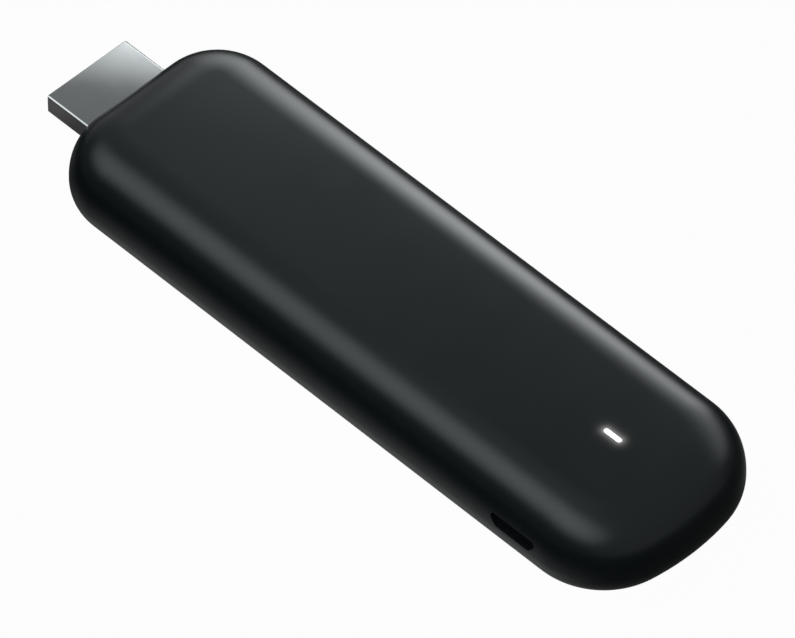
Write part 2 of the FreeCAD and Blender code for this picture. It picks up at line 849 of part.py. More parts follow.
def lower_plate():
    start = casing_plug_x + lower_plate_from_plug_end
    x = (start, start + lower_plate_length)
    return rounded_block(x, about(0, lower_plate_width), (seam_height, lower_plate_top), heat_plate_corner)


def radio_module():
    x = about(casing_lamp_x - radio_from_lamp_end, radio_size)
    return block(x, about(radio_offset, radio_size), (board_top, board_top + radio_height))


def inductor_places():
    """Places of the inductors along the stick, from the lamp end inwards."""
    step = inductor_size + inductor_gap
    return [casing_lamp_x - inductor_from_lamp_end - index * step for index in range(inductor_count)]


def power_chip():
    places = inductor_places()
    middle = (places[0] + places[-1]) / 2
    heights = (board_top, board_top + power_chip_height)
    return block(about(middle, power_chip_size), about(power_chip_y, power_chip_size), heights)


def power_inductors():
    pieces = []
    heights = (board_top, board_top + inductor_height)
    y = about(inductor_y, inductor_size)
    for middle in inductor_places():
        pieces.append(rounded_block(about(middle, inductor_size), y, heights, inductor_corner))
    return group(pieces)


def power_capacitors():
    pieces = []
    heights = (board_top, board_top + power_cap_height)
    for index in range(power_cap_count):
        middle = casing_lamp_x - power_cap_from_lamp_end - index * power_cap_pitch
        y = about(power_cap_y, power_cap_width)
        pieces.append(block(about(middle, power_cap_length), y, heights))
    return group(pieces)


def lamp_resistors():
    heights = (board_top, board_top + resistor_height)
    pieces = []
    for along in row(resistor_count, resistor_pitch):
        y = about(resistor_offset, resistor_length)
        pieces.append(block(about(lamp_x + along, resistor_width), y, heights))
    return group(pieces)


def raised_antenna(x, y, leg_faces):
    """A sheet metal plate held over the board by legs at the given low corners."""
    top = board_top + antenna_rise
    pieces = [block(x, y, (top - antenna_sheet, top))]
    for leg_x, leg_y in leg_faces:
        pieces.append(block(leg_x, leg_y, (board_top, top - antenna_sheet)))
    return joined(pieces)


def side_antenna():
    end = casing_lamp_x - side_antenna_from_lamp_end
    start = end - side_antenna_length
    y_end = board_half_width - side_antenna_from_edge
    y = (y_end - side_antenna_width, y_end)
    sheet = (y[0], y[0] + antenna_sheet)
    feed = (start + 2 * antenna_leg_width, start + 3 * antenna_leg_width)
    return raised_antenna((start, end), y, [((start, start + antenna_leg_width), sheet), (feed, sheet)])


def end_antenna():
    x_end = casing_lamp_x - end_antenna_from_lamp_end
    x = (x_end - end_antenna_width, x_end)
    y = about(0, end_antenna_length)
    sheet = (x[0], x[0] + antenna_sheet)
    ground = (y[0], y[0] + antenna_leg_width)
    feed = (y[0] + 2 * antenna_leg_width, y[0] + 3 * antenna_leg_width)
    return raised_antenna(x, y, [(sheet, ground), (sheet, feed)])


sub_parts = [
    top_shell, bottom_cover, light_pipe, lamp_foam, status_led, plug_shell, plug_insulator,
    plug_contacts, socket_shell, socket_tongue, socket_contacts, main_board, board_screws,
    processor, processor_pad, memory_chips, clock_crystal, bypass_capacitors, surge_chips,
    shield_frame, shield_lid, spreader_pad, heat_plate, ceiling_foam, flash_chip, flash_pad,
    lower_shield, lower_pad, lower_plate, radio_module, power_chip, power_inductors,
    power_capacitors, lamp_resistors, side_antenna, end_antenna,
]

os.makedirs("parts", exist_ok=True)
for make in sub_parts:
    shape = make()
    shape.exportStep("parts/" + make.__name__ + ".step")
    facts = ["solids", len(shape.Solids), "valid", shape.isValid(), "volume", round(shape.Volume, 2)]
    print(make.__name__, *facts)
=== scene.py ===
import json
import math

import bmesh
import bpy
import numpy as np
from mathutils import Matrix, Vector


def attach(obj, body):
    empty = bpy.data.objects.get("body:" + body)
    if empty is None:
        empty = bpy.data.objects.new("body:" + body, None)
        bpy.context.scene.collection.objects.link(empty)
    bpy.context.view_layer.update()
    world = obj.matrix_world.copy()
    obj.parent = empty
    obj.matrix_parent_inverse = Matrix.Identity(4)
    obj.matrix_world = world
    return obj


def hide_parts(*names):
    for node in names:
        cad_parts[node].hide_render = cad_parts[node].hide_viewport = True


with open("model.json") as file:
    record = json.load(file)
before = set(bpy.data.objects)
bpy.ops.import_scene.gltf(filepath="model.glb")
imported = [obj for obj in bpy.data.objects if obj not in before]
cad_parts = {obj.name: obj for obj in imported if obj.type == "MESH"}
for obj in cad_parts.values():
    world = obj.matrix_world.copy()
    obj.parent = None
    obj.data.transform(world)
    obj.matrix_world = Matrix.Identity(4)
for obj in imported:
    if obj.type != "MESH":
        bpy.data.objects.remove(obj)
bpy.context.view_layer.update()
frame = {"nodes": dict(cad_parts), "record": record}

print("frame loaded,", len(frame["nodes"]), "pieces")

# Pieces are drawn in millimetres and brought to metres when they are finished. The studio is in metres.
mm = 0.001
over = 1.0  # how far a cut runs past the face that it opens
weld = 1e-5  # points closer than this become one
tiny = 1e-9  # the least length that divides another


# Nodes: a formula written out in Python becomes a chain of Math nodes

class Field:
    def __init__(self, tree, socket):
        self.tree, self.socket = tree, socket

    def calc(self, operation, *others):
        node = self.tree.nodes.new("ShaderNodeMath")
        node.operation = operation
        for socket, value in zip(node.inputs, (self, *others)):
            plug(self.tree, socket, value)
        return Field(self.tree, node.outputs[0])

    def aboveZero(self):
        return self.calc("MAXIMUM", 0.0)

    def fade(self, reach):
        # 1 at nothing, and about a third of it for every reach further on
        return (self * (-1 / reach)).calc("EXPONENT")

    def __add__(self, other):
        return self.calc("ADD", other)

    def __sub__(self, other):
        return self.calc("SUBTRACT", other)

    def __rsub__(self, other):
        return self.calc("MULTIPLY_ADD", -1.0, other)

    def __mul__(self, other):
        return self.calc("MULTIPLY", other)

    def __truediv__(self, other):
        return self.calc("DIVIDE", other)

    def __pow__(self, other):
        return self.calc("POWER", other)

    __rmul__ = __mul__


def plug(tree, socket, value):
    if isinstance(value, Field):
        tree.links.new(value.socket, socket)
    elif isinstance(value, bpy.types.NodeSocket):
        tree.links.new(value, socket)
    else:
        socket.default_value = value


def feed(tree, node, sockets):
    for key, value in sockets.items():
        plug(tree, node.inputs[key], value)
    return node


def addNode(tree, kind, sockets={}, **settings):
    node = tree.nodes.new(kind)
    for key, value in settings.items():
        setattr(node, key, value)
    return feed(tree, node, sockets)


def axesOf(tree, vector):
    split = addNode(tree, "ShaderNodeSeparateXYZ", {"Vector": vector})
    return [Field(tree, split.outputs[i]) for i in range(3)]


def vectorOf(tree, x, y, z):
    return addNode(tree, "ShaderNodeCombineXYZ", {"X": x, "Y": y, "Z": z}).outputs[0]


def newTree(name, inputs):
    # a geometry tree with these inputs, each of a given kind, and the field of each
    tree = bpy.data.node_groups.new(name, "GeometryNodeTree")
    for label, kind in {"Geometry": "Geometry", **inputs, "Material": "Material"}.items():
        tree.interface.new_socket(label, in_out="INPUT", socket_type="NodeSocket" + kind)
    tree.interface.new_socket("Geometry", in_out="OUTPUT", socket_type="NodeSocketGeometry")
    given = tree.nodes.new("NodeGroupInput")
    return tree, {s.name: Field(tree, s) for s in given.outputs if s.name}


def closeTree(tree, shape, material):
    whole = addNode(tree, "GeometryNodeRealizeInstances", {"Geometry": shape})
    painted = addNode(tree, "GeometryNodeSetMaterial", {"Geometry": whole.outputs[0], "Material": material})
    result = tree.nodes.new("NodeGroupOutput")
    tree.links.new(painted.outputs[0], result.inputs[0])


def inScene(name, data):
    # an object that holds this, linked into the scene
    item = bpy.data.objects.new(name, data)
    bpy.context.scene.collection.objects.link(item)
    return item


def evaluatedMesh(holder):
    bpy.context.view_layer.update()
    graph = bpy.context.evaluated_depsgraph_get()
    return bpy.data.meshes.new_from_object(
        holder.evaluated_get(graph), preserve_all_data_layers=True, depsgraph=graph)


def shapeFromTree(tree, sizes, base=None):
    # runs a tree on a holder with these named inputs and gives back a plain mesh
    holder = inScene("holder", base or bpy.data.meshes.new("empty"))
    modifier = holder.modifiers.new("form", "NODES")
    modifier.node_group = tree
    for item in tree.interface.items_tree:
        if item.in_out == "INPUT" and item.name in sizes:
            modifier[item.identifier] = sizes[item.name]
    made = evaluatedMesh(holder)
    bpy.data.objects.remove(holder)
    return made


# Simple forms, as meshes in millimetres

def meshFrom(points, faces):
    made = bpy.data.meshes.new("form")
    made.from_pydata([tuple(p) for p in points], [], [tuple(f) for f in faces])
    made.update()
    return made


def reworked(mesh, *changes):
    # a mesh after these changes of its corners, edges and faces
    work = bmesh.new()
    work.from_mesh(mesh)
    for change in changes:
        change(work)
    work.to_mesh(mesh)
    work.free()
    return mesh


def outwards(mesh):
    return reworked(mesh, lambda work: bmesh.ops.remove_doubles(work, verts=work.verts, dist=weld),
                    lambda work: bmesh.ops.recalc_face_normals(work, faces=work.faces))


def loopTube(loops, ends=True):
    # skin through loops of equally many points; without ends the last loop joins the first
    count = len(loops[0])
    points = [p for loop in loops for p in loop]
    faces = []
    for ring in range(len(loops) - (1 if ends else 0)):
        here, there = ring * count, ((ring + 1) % len(loops)) * count
        for i in range(count):
            after = (i + 1) % count
            faces.append((here + i, here + after, there + after, there + i))
    if ends:
        faces.append(tuple(reversed(range(count))))
        faces.append(tuple(range(len(points) - count, len(points))))
    return outwards(meshFrom(points, faces))


def span(middle, size):
    return (middle - size / 2, middle + size / 2)


def row(count, pitch):
    return [(i - (count - 1) / 2) * pitch for i in range(count)]


def blockForm(x, y, z):
    low, high = [[(x[a], y[b], z[c]) for a, b in ((0, 0), (1, 0), (1, 1), (0, 1))] for c in (0, 1)]
    return loopTube([low, high])


def roundLoop(corners, radius, steps):
    # a closed outline with each of its corners rounded
    points = []
    for i, corner in enumerate(corners):
        corner = Vector(corner)
        back = (Vector(corners[i - 1]) - corner).normalized()
        on = (Vector(corners[(i + 1) % len(corners)]) - corner).normalized()
        half = back.angle(on) / 2
        middle = corner + (back + on).normalized() * (radius / math.sin(half))
        foot = radius / math.tan(half)
        start, end = [(corner + way * foot - middle).normalized() for way in (back, on)]
        for step in range(steps + 1):
            points.append(middle + start.slerp(end, step / steps) * radius)
    return [tuple(p) for p in points]


def mirrored(right):
    # the right half of an outline and its mirror image
    return right + [(-a, b) for a, b in reversed(right)]


def lift(outline, z):
    return [(x, y, z) for x, y in outline]


def roundedOver(edge, turns):
    # for each turn of a rounded edge, how far it is drawn in and how far it stays below the rim
    return [(edge * (1 - math.cos(turn)), edge * (1 - math.sin(turn))) for turn in np.radians(turns)]


def postForm(x, y, low, high, radius, steps=40):
    ring = [(x + radius * math.cos(t), y + radius * math.sin(t))
            for t in np.linspace(0, 2 * math.pi, steps, endpoint=False)]
    return loopTube([lift(ring, low), lift(ring, high)])


def barOutline(x, length, width, steps=12):
    half = (length - width) / 2
    ring = []
    for side, start in ((1, -90), (-1, 90)):
        for step in range(steps + 1):
            turn = math.radians(start + 180 * step / steps)
            ring.append((x + side * half + width / 2 * math.cos(turn), width / 2 * math.sin(turn)))
    return ring


def barForm(x, low, high, length, width, edge=0.0):
    # an upright bar with half-round ends, and a small rounding round its top if asked
    loops = [lift(barOutline(x, length, width), low)]
    for back, down in roundedOver(edge, [0, 30, 60, 90] if edge else [90]):
        loops.append(lift(barOutline(x, length - 2 * back, width - 2 * back), high - down))
    return loopTube(loops)


def combine(base, others, operation):
    # joins or cuts whole forms, one after the other
    holder = inScene("holder", base)
    helpers = [inScene("helper", mesh) for mesh in others]
    for helper in helpers:
        modifier = holder.modifiers.new("cut", "BOOLEAN")
        modifier.operation, modifier.solver, modifier.object = operation, "EXACT", helper
    made = evaluatedMesh(holder)
    for item in [holder, *helpers]:
        bpy.data.objects.remove(item)
    return made


def cut(base, *others):
    return combine(base, others, "DIFFERENCE")


def join(base, *others):
    return combine(base, others, "UNION")


def together(meshes):
    # several separate shells kept in one mesh
    work = bmesh.new()
    for mesh in meshes:
        work.from_mesh(mesh)
    made = bpy.data.meshes.new("group")
    work.to_mesh(made)
    work.free()
    return made


def finishPiece(name, mesh, slot, nodes, normals=None, crease=32):
    # shades a form, brings it to metres and puts it on its body in place of its CAD nodes
    mesh.materials.clear()
    mesh.materials.append(finishFor(slot))
    mesh.polygons.foreach_set("material_index", [0] * len(mesh.polygons))
    mesh.shade_smooth()
    mesh.set_sharp_from_angle(angle=math.radians(crease))
    if normals:
        normals(mesh)
    mesh.transform(Matrix.Scale(mm, 4))
    mesh.name = name
    piece = inScene(name, mesh)
    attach(piece, "root")
    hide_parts(*nodes)
    return piece


# Finishes

def newFinish(name):
    material = bpy.data.materials.new(name)
    material.use_nodes = True
    tree = material.node_tree
    place = addNode(tree, "ShaderNodeTexCoord").outputs["Object"]
    return material, tree, tree.nodes["Principled BSDF"], place


def noiseAt(tree, place, size, detail=3.0, stretch=None):
    # soft random field with features of a given size in millimetres
    if stretch:
        place = addNode(tree, "ShaderNodeMapping", {"Vector": place, "Scale": stretch}).outputs[0]
    node = addNode(tree, "ShaderNodeTexNoise", {
        "Vector": place, "Scale": 1 / (size * mm), "Detail": detail})
    return Field(tree, node.outputs["Fac"])


def between(field, low, high, fromLow=0.3, fromHigh=0.7):
    # the field from one value to another, brought to the range from low to high
    node = addNode(field.tree, "ShaderNodeMapRange", {
        "Value": field, "From Min": fromLow, "From Max": fromHigh, "To Min": low, "To Max": high})
    return Field(field.tree, node.outputs[0])


def blendColours(tree, share, first, second):
    node = addNode(tree, "ShaderNodeMix", data_type="RGBA")
    for socket, value in ((node.inputs[0], share), (node.inputs[6], first), (node.inputs[7], second)):
        plug(tree, socket, (*value, 1) if isinstance(value, tuple) else value)
    return node.outputs[2]


def bumpFrom(tree, height, depth, strength):
    node = addNode(tree, "ShaderNodeBump", {"Height": height, "Distance": depth * mm, "Strength": strength})
    return node.outputs[0]


def shade(colour, factor):
    return tuple(min(1.0, c * factor) for c in colour)


def patchy(tree, patches, colour, uneven):
    # a colour that is a little darker in some patches and lighter in others
    return blendColours(tree, between(patches, 0, 1), shade(colour, 1 - uneven), shade(colour, 1 + uneven))


# what the looks below have unless they say otherwise
surface = {
    "patchDetail": 4.0, "grainDetail": 2.0, "wearDetail": 5.0, "wearShare": 0.37, "grainGloss": 0.02,
    "bump": 0.6, "speckle": 0.0, "speckFrom": 0.55, "speckFull": 0.75, "speckShade": 1.6, "metal": 0.0,
    "stretch": None,
}


def surfaceFinish(name, look):
    # the finish most pieces share: patchy colour, fine grain, and rubbed or handled spots in the gloss
    material, tree, shader, place = newFinish(name)
    look = {**surface, **look}
    colour, grainGloss = look["colour"], look["grainGloss"]
    patches = noiseAt(tree, place, look["patch"], look["patchDetail"], look["stretch"])
    grain = noiseAt(tree, place, look["grain"], look["grainDetail"], look["stretch"])
    tint = patchy(tree, patches, colour, look["uneven"])
    speck = between(grain, 0, look["speckle"], look["speckFrom"], look["speckFull"])
    tint = blendColours(tree, speck, tint, shade(colour, look["speckShade"]))
    wear = noiseAt(tree, place, look["patch"] * look["wearShare"], look["wearDetail"])
    worn = between(wear, -look["handled"], look["handled"]) + between(grain, -grainGloss, grainGloss)
    feed(tree, shader, {
        "Base Color": tint, "Roughness": worn + look["rough"], "Metallic": look["metal"],
        "Normal": bumpFrom(tree, grain, look["depth"], look["bump"])})
    return material


looks = {
    # painted shade: the socket's steel is near-black, so that the inside of its slot renders dark
    "socketSteel": dict(colour=(0.045, 0.045, 0.047), uneven=0.12, patch=1.6, grain=0.07, rough=0.38,
                        handled=0.06, depth=0.002, metal=1.0, stretch=(1, 6, 1)),
    "connectorPlastic": dict(colour=(0.014, 0.014, 0.015), uneven=0.12, patch=1.2, grain=0.06, rough=0.48,
                             handled=0.05, depth=0.004, speckle=0.25),
    "contactGold": dict(colour=(0.83, 0.6, 0.24), uneven=0.05, patch=0.8, grain=0.05, rough=0.22,
                        handled=0.05, depth=0.001, metal=1.0),
    "ledPackage": dict(colour=(0.86, 0.8, 0.5), uneven=0.05, patch=0.5, grain=0.05, rough=0.35,
                       handled=0.05, depth=0.002),
    "chipResin": dict(colour=(0.022, 0.022, 0.024), uneven=0.15, patch=2.2, grain=0.08, rough=0.55,
                      handled=0.07, depth=0.006, speckle=0.35),
    "shieldTin": dict(colour=(0.62, 0.62, 0.6), uneven=0.06, patch=5.0, grain=0.12, rough=0.34,
                      handled=0.1, depth=0.003, metal=1.0, stretch=(6, 1, 1)),
    "thermalPad": dict(colour=(0.33, 0.4, 0.54), uneven=0.1, patch=3.0, grain=0.16, rough=0.72,
                       handled=0.06, depth=0.02, speckle=0.3),
    "blackFoam": dict(colour=(0.02, 0.02, 0.021), uneven=0.2, patch=1.4, grain=0.22, rough=0.9,
                      handled=0.04, depth=0.06, bump=1.0),
    "heatAluminium": dict(colour=(0.72, 0.73, 0.74), uneven=0.04, patch=6.0, grain=0.15, rough=0.42,
                          handled=0.08, depth=0.006, metal=1.0),
    "screwSteel": dict(colour=(0.32, 0.32, 0.33), uneven=0.1, patch=0.8, grain=0.06, rough=0.32,
                       handled=0.1, depth=0.002, metal=1.0),
    "capacitorCeramic": dict(colour=(0.43, 0.3, 0.18), uneven=0.12, patch=0.6, grain=0.05, rough=0.5,
                             handled=0.05, depth=0.003, speckle=0.2),
    "ferriteGrey": dict(colour=(0.07, 0.07, 0.075), uneven=0.15, patch=0.9, grain=0.1, rough=0.62,
                        handled=0.06, depth=0.01, speckle=0.3),
    "resistorGlass": dict(colour=(0.028, 0.028, 0.033), uneven=0.1, patch=0.5, grain=0.05, rough=0.2,
                          handled=0.05, depth=0.001),
    "crystalCan": dict(colour=(0.66, 0.64, 0.59), uneven=0.05, patch=1.0, grain=0.05, rough=0.24,
                       handled=0.06, depth=0.001, metal=1.0),
    "antennaMetal": dict(colour=(0.64, 0.57, 0.42), uneven=0.06, patch=1.5, grain=0.08, rough=0.3,
                         handled=0.08, depth=0.002, metal=1.0, stretch=(1, 5, 1)),
}
finishes = {name: surfaceFinish(name, look) for name, look in looks.items()}

casingLook = {
    "colour": (0.0038, 0.0066, 0.0075), "shine": (0.93, 1.0, 1.03), "uneven": 0.06, "patch": 22.0,
    "patchDetail": 3.0, "rough": 0.296, "handled": 0.012, "rubbedShare": 0.3, "rubbedDetail": 5.0,
    "grain": 0.16, "grainDetail": 2.0, "depth": 0.0020, "bump": 0.35, "grainGloss": 0.01,
    "grainTint": 0.25, "grainShade": 1.35, "grainFrom": 0.5, "grainFull": 0.7,
    # painted glow: emission on the skin round the lamp's window, a halo of the lamp's light
    "glow": 0.33, "glowReach": 0.66, "glowFrom": 12.6, "glowColour": (1, 0.98, 0.95),
}

lampPlace = {"x": 39.925, "length": 2.85, "width": 0.66, "holeGap": 0.04}


def casingFinish(look, lamp):
    # matt moulded black: almost even, with a spark-eroded grain too fine to see from a step away
    material, tree, shader, place = newFinish("casingPlastic")
    patches = noiseAt(tree, place, look["patch"], look["patchDetail"])
    grain = noiseAt(tree, place, look["grain"], look["grainDetail"])
    tint = patchy(tree, patches, look["colour"], look["uneven"])
    grainTint = between(grain, 0, look["grainTint"], look["grainFrom"], look["grainFull"])
    tint = blendColours(tree, grainTint, tint, shade(look["colour"], look["grainShade"]))
    rubbed = noiseAt(tree, place, look["patch"] * look["rubbedShare"], look["rubbedDetail"])
    rough = between(rubbed, -look["handled"], look["handled"])
    rough = rough + between(grain, -look["grainGloss"], look["grainGloss"]) + look["rough"]
    feed(tree, shader, {
        "Base Color": tint, "Roughness": rough,
        "Normal": bumpFrom(tree, grain, look["depth"], look["bump"]), "Specular Tint": (*look["shine"], 1)})
    # painted glow on the skin: its distance from the lamp's bar, along the skin
    x, y, z = axesOf(tree, place)
    straight = (lamp["length"] - lamp["width"]) / 2 * mm
    past = ((x - lamp["x"] * mm).calc("ABSOLUTE") - straight).aboveZero()
    away = ((past * past + y * y).calc("SQRT") - lamp["width"] / 2 * mm).aboveZero()
    fade = away.fade(look["glowReach"] * mm)
    onTop = z.calc("GREATER_THAN", look["glowFrom"] * mm)
    # painted glow: emission on the top face only, fading away from the lamp's bar
    glow = fade * fade * onTop * look["glow"]
    feed(tree, shader, {"Emission Strength": glow, "Emission Color": (*look["glowColour"], 1)})
    return material


guideLook = {
    "dark": (0.86, 0.87, 0.88), "light": (0.93, 0.93, 0.92), "cloud": 0.5, "cloudDetail": 2.0,
    "smooth": 0.25, "rough": 0.35, "depth": 0.004, "bump": 0.4, "glowColour": (1, 1, 0.99),
    "middleGlow": 2.2, "endGlow": 1.5, "deepShare": 0.3, "riseFrom": 10.5, "riseTo": 12.6,
}


def guideFinish(look, lamp):
    # milky clear plastic, lit from below: brightest over the diode, a little dimmer at the ends
    material, tree, shader, place = newFinish("lightGuide")
    x, _, z = axesOf(tree, place)
    cloud = noiseAt(tree, place, look["cloud"], look["cloudDetail"])
    along = (x - lamp["x"] * mm).calc("ABSOLUTE")
    lit = between(along, look["middleGlow"], look["endGlow"], 0.0, lamp["length"] / 2 * mm)
    high = between(z, look["deepShare"], 1.0, look["riseFrom"] * mm, look["riseTo"] * mm)
    feed(tree, shader, {
        "Base Color": blendColours(tree, between(cloud, 0, 1), look["dark"], look["light"]),
        "Roughness": between(cloud, look["smooth"], look["rough"]),
        "Normal": bumpFrom(tree, cloud, look["depth"], look["bump"]),
        "Emission Strength": lit * high, "Emission Color": (*look["glowColour"], 1)})
    return material


plugLook = {
    "colour": (0.57, 0.57, 0.57), "uneven": 0.035, "cloud": 4.0, "rough": 0.15, "depth": 0.0006, "bump": 0.5,
    "brush": 0.05, "brushDetail": 2.0, "brushStretch": (0.06, 1, 1), "brushGloss": 0.008,
    "rubbed": 0.5, "rubbedStretch": (0.12, 1, 1), "rubbedGloss": -0.012, "rubbedFrom": 0.5,
    "rubbedFull": 0.72,
}


def plugFinish(look):
    # satin plated sheet: rolled lengthwise, faint rubbing where it slides in and out
    material, tree, shader, place = newFinish("plugSteel")
    rolled = noiseAt(tree, place, look["brush"], look["brushDetail"], look["brushStretch"])
    cloud = noiseAt(tree, place, look["cloud"])
    rubbed = noiseAt(tree, place, look["rubbed"], stretch=look["rubbedStretch"])
    worn = between(rubbed, 0.0, look["rubbedGloss"], look["rubbedFrom"], look["rubbedFull"])
    feed(tree, shader, {
        "Base Color": patchy(tree, cloud, look["colour"], look["uneven"]), "Metallic": 1.0,
        "Roughness": between(rolled, -look["brushGloss"], look["brushGloss"]) + worn + look["rough"],
        "Normal": bumpFrom(tree, rolled, look["depth"], look["bump"])})
    return material


boardLook = {
    "mask": (0.006, 0.045, 0.026), "uneven": 0.15, "cloud": 3.0, "smooth": 0.3, "rough": 0.4, "depth": 0.012,
    "bump": 0.7, "track": (0.014, 0.085, 0.05), "cell": 1.1, "trackFrom": 0.05, "trackTo": 0.09,
    "pad": (0.72, 0.55, 0.25), "viaPitch": 1.7, "viaScatter": 0.7, "viaFrom": 0.1, "viaTo": 0.13,
    "viaTint": 0.8,
}


def boardFinish(look):
    # dark green solder mask, with tracks that show as raised lighter lines and a scatter of small vias
    material, tree, shader, place = newFinish("circuitBoard")
    cells = addNode(tree, "ShaderNodeTexVoronoi", {"Vector": place, "Scale": 1 / (look["cell"] * mm)},
                    distance="MANHATTAN", feature="DISTANCE_TO_EDGE")
    tracks = between(Field(tree, cells.outputs["Distance"]), 1, 0, look["trackFrom"], look["trackTo"])
    dots = addNode(tree, "ShaderNodeTexVoronoi", {
        "Vector": place, "Scale": 1 / (look["viaPitch"] * mm), "Randomness": look["viaScatter"]})
    vias = between(Field(tree, dots.outputs["Distance"]), 1, 0, look["viaFrom"], look["viaTo"])
    cloud = noiseAt(tree, place, look["cloud"])
    tint = blendColours(tree, tracks, patchy(tree, cloud, look["mask"], look["uneven"]), look["track"])
    feed(tree, shader, {
        "Base Color": blendColours(tree, vias * look["viaTint"], tint, look["pad"]),
        "Roughness": between(cloud, look["smooth"], look["rough"]),
        "Normal": bumpFrom(tree, tracks + vias, look["depth"], look["bump"])})
    return material


finishes["casingPlastic"] = casingFinish(casingLook, lampPlace)
finishes["lightGuide"] = guideFinish(guideLook, lampPlace)
finishes["plugSteel"] = plugFinish(plugLook)
finishes["circuitBoard"] = boardFinish(boardLook)
print("finishes made,", len(finishes))


def finishFor(slot):
    # the finish named as this material slot, written this script's way
    first, *words = slot.split("_")
    return finishes[first + "".join(word.title() for word in words)]


# each CAD piece takes the finish of its slot
for part in frame["record"]["subparts"]:
    held = frame["nodes"][part["node"]].data.materials
    if not held:
        held.append(finishFor(part["material_slot"]))
    for index in range(len(held)):
        held[index] = finishFor(part["material_slot"])
print("CAD pieces finished")


# Casing: one rule for the whole skin, a super-ellipse edge carried round an outline of arcs

casing = {
    "plugEnd": -46.925, "lampEnd": 54.771, "width": 32.0, "plugCorner": 9.4, "lampCorner": 11.6,
    "noseRadius": 36.0, "bulgeHeight": 5.1, "top": 13.1, "topReach": 8.0, "topPower": 2.25,
    "bottomReach": 4.8, "bottomPower": 2.0, "inset": 0.0, "fromHeight": 0.0, "toHeight": 13.1,
    "stretchPoints": 24, "rings": 48,
}
inside = {
    "seam": 1.5, "grooveHeight": 0.15, "grooveDepth": 0.3, "wall": 2.2, "ceiling": 1.8, "roomReach": 6.5,
    "bossRadius": 1.8, "pilotRadius": 0.62, "pilotTop": 9.55, "boardTop": 4.95, "boardBottom": 4.15,
    "bossPlugEnd": 13.0, "bossLampEnd": 9.5, "bossPlugSide": 5.4, "bossLampSide": 7.2,
    "hookLength": 3.0, "hookDepth": 0.4, "hookHeight": 0.6, "hookGap": 0.1, "hookPitch": 24.0, "hookCount": 3,
    "lipGap": 0.1, "lip": 0.9, "lipHeight": 1.7, "roomRings": 24, "coverRings": 20, "pilotSides": 24,
}


def outlineArcs(given, root, arcsine):
    # centre and radius of the nose's, the lamp end's and the plug end's arcs, and where the nose's arc ends;
    # the sizes are numbers or fields, with their own root and arcsine
    nose, lamp, corner = given["noseRadius"], given["lampCorner"], given["plugCorner"]
    half = given["width"] / 2.0
    noseX, lampY = given["lampEnd"] - nose, half - lamp
    lampX = noseX + root((nose - lamp) ** 2.0 - lampY ** 2.0)
    arcs = (noseX, 0.0, nose), (lampX, lampY, lamp), (given["plugEnd"] + corner, half - corner, corner)
    return *arcs, arcsine(lampY / (nose - lamp))


def casingTree():
    kinds = {key: "Int" if key in ("stretchPoints", "rings") else "Float" for key in casing}
    tree, given = newTree("casingForm", kinds)
    points, stretches = given["stretchPoints"], 5.0  # stretches of the outline on either side
    around = points * (2 * stretches)
    barrel = addNode(tree, "GeometryNodeMeshCylinder", {
        "Vertices": around, "Side Segments": given["rings"], "Radius": 1.0, "Depth": 1.0}, fill_type="NGON")
    px, py, pz = axesOf(tree, addNode(tree, "GeometryNodeInputPosition").outputs[0])
    # place round the outline, from the nose's tip along one side to the middle of the plug end
    step = (py.calc("ARCTAN2", px).calc("ABSOLUTE") * around / (2 * math.pi)).calc("ROUND")
    stretch = (step / points).calc("FLOOR").calc("MINIMUM", stretches - 1)
    share = step / points - stretch
    side = py.calc("SIGN")
    ring = ((pz + 0.5) * given["rings"]).calc("ROUND") / given["rings"]
    noseArc, lampArc, cornerArc, noseTurn = outlineArcs(
        given, lambda field: field.calc("SQRT"), lambda field: field.calc("ARCSINE"))
    endLine = (cornerArc[0], 0.0, cornerArc[2])
    quarter, halfTurn = math.pi / 2, math.pi
    starts = [noseArc, lampArc, lampArc, cornerArc, cornerArc]
    ends = [noseArc, lampArc, cornerArc, cornerArc, endLine]
    turns = [(0.0, noseTurn, 0.0), (noseTurn, quarter, 0.0), (quarter, quarter, 0.0),
             (quarter, halfTurn, 0.0), (halfTurn, halfTurn, 0.0)]

    def chosen(items):
        pick = addNode(tree, "GeometryNodeIndexSwitch", data_type="VECTOR")
        while len(pick.index_switch_items) < len(items):
            pick.index_switch_items.new()
        plug(tree, pick.inputs[0], stretch)
        for socket, item in zip(pick.inputs[1:], items):
            plug(tree, socket, vectorOf(tree, *item))
        return axesOf(tree, pick.outputs[0])

    startX, startY, startRadius = chosen(starts)
    endX, endY, endRadius = chosen(ends)
    fromTurn, toTurn, _ = chosen(turns)
    turn = fromTurn + (toTurn - fromTurn) * share
    # place on the rounded edge: below zero is the lower edge, above zero the upper one
    bulge, top = given["bulgeHeight"], given["top"]
    topPower, bottomPower = given["topPower"], given["bottomPower"]

    def edgeTurn(height):
        up = (height - bulge).aboveZero() / (top - bulge)
        down = (bulge - height).aboveZero() / bulge
        return (up ** (topPower / 2.0)).calc("ARCSINE") - (down ** (bottomPower / 2.0)).calc("ARCSINE")

    low, high = edgeTurn(given["fromHeight"]), edgeTurn(given["toHeight"])
    edge = low + (high - low) * ring
    up, down = edge.aboveZero(), (edge * -1.0).aboveZero()

    def drawnIn(angle, reach, power):
        return (1.0 - angle.calc("COSINE").aboveZero() ** (2.0 * power ** -1.0)) * reach

    def climb(angle, rise, power):
        return angle.calc("SINE").aboveZero() ** (2.0 * power ** -1.0) * rise

    inset = given["inset"] + drawnIn(up, given["topReach"], topPower)
    inset = inset + drawnIn(down, given["bottomReach"], bottomPower)
    height = bulge + climb(up, top - bulge, topPower) - climb(down, bulge, bottomPower)
    radius = startRadius + (endRadius - startRadius) * share - inset
    x = startX + (endX - startX) * share + turn.calc("COSINE") * radius
    y = (startY + (endY - startY) * share + turn.calc("SINE") * radius) * side
    shaped = addNode(tree, "GeometryNodeSetPosition", {
        "Geometry": barrel.outputs["Mesh"], "Position": vectorOf(tree, x, y, height)})
    closeTree(tree, shaped.outputs[0], given["Material"])
    return tree


casingForm = casingTree()


def casingPart(**sizes):
    return shapeFromTree(casingForm, {**casing, **sizes})


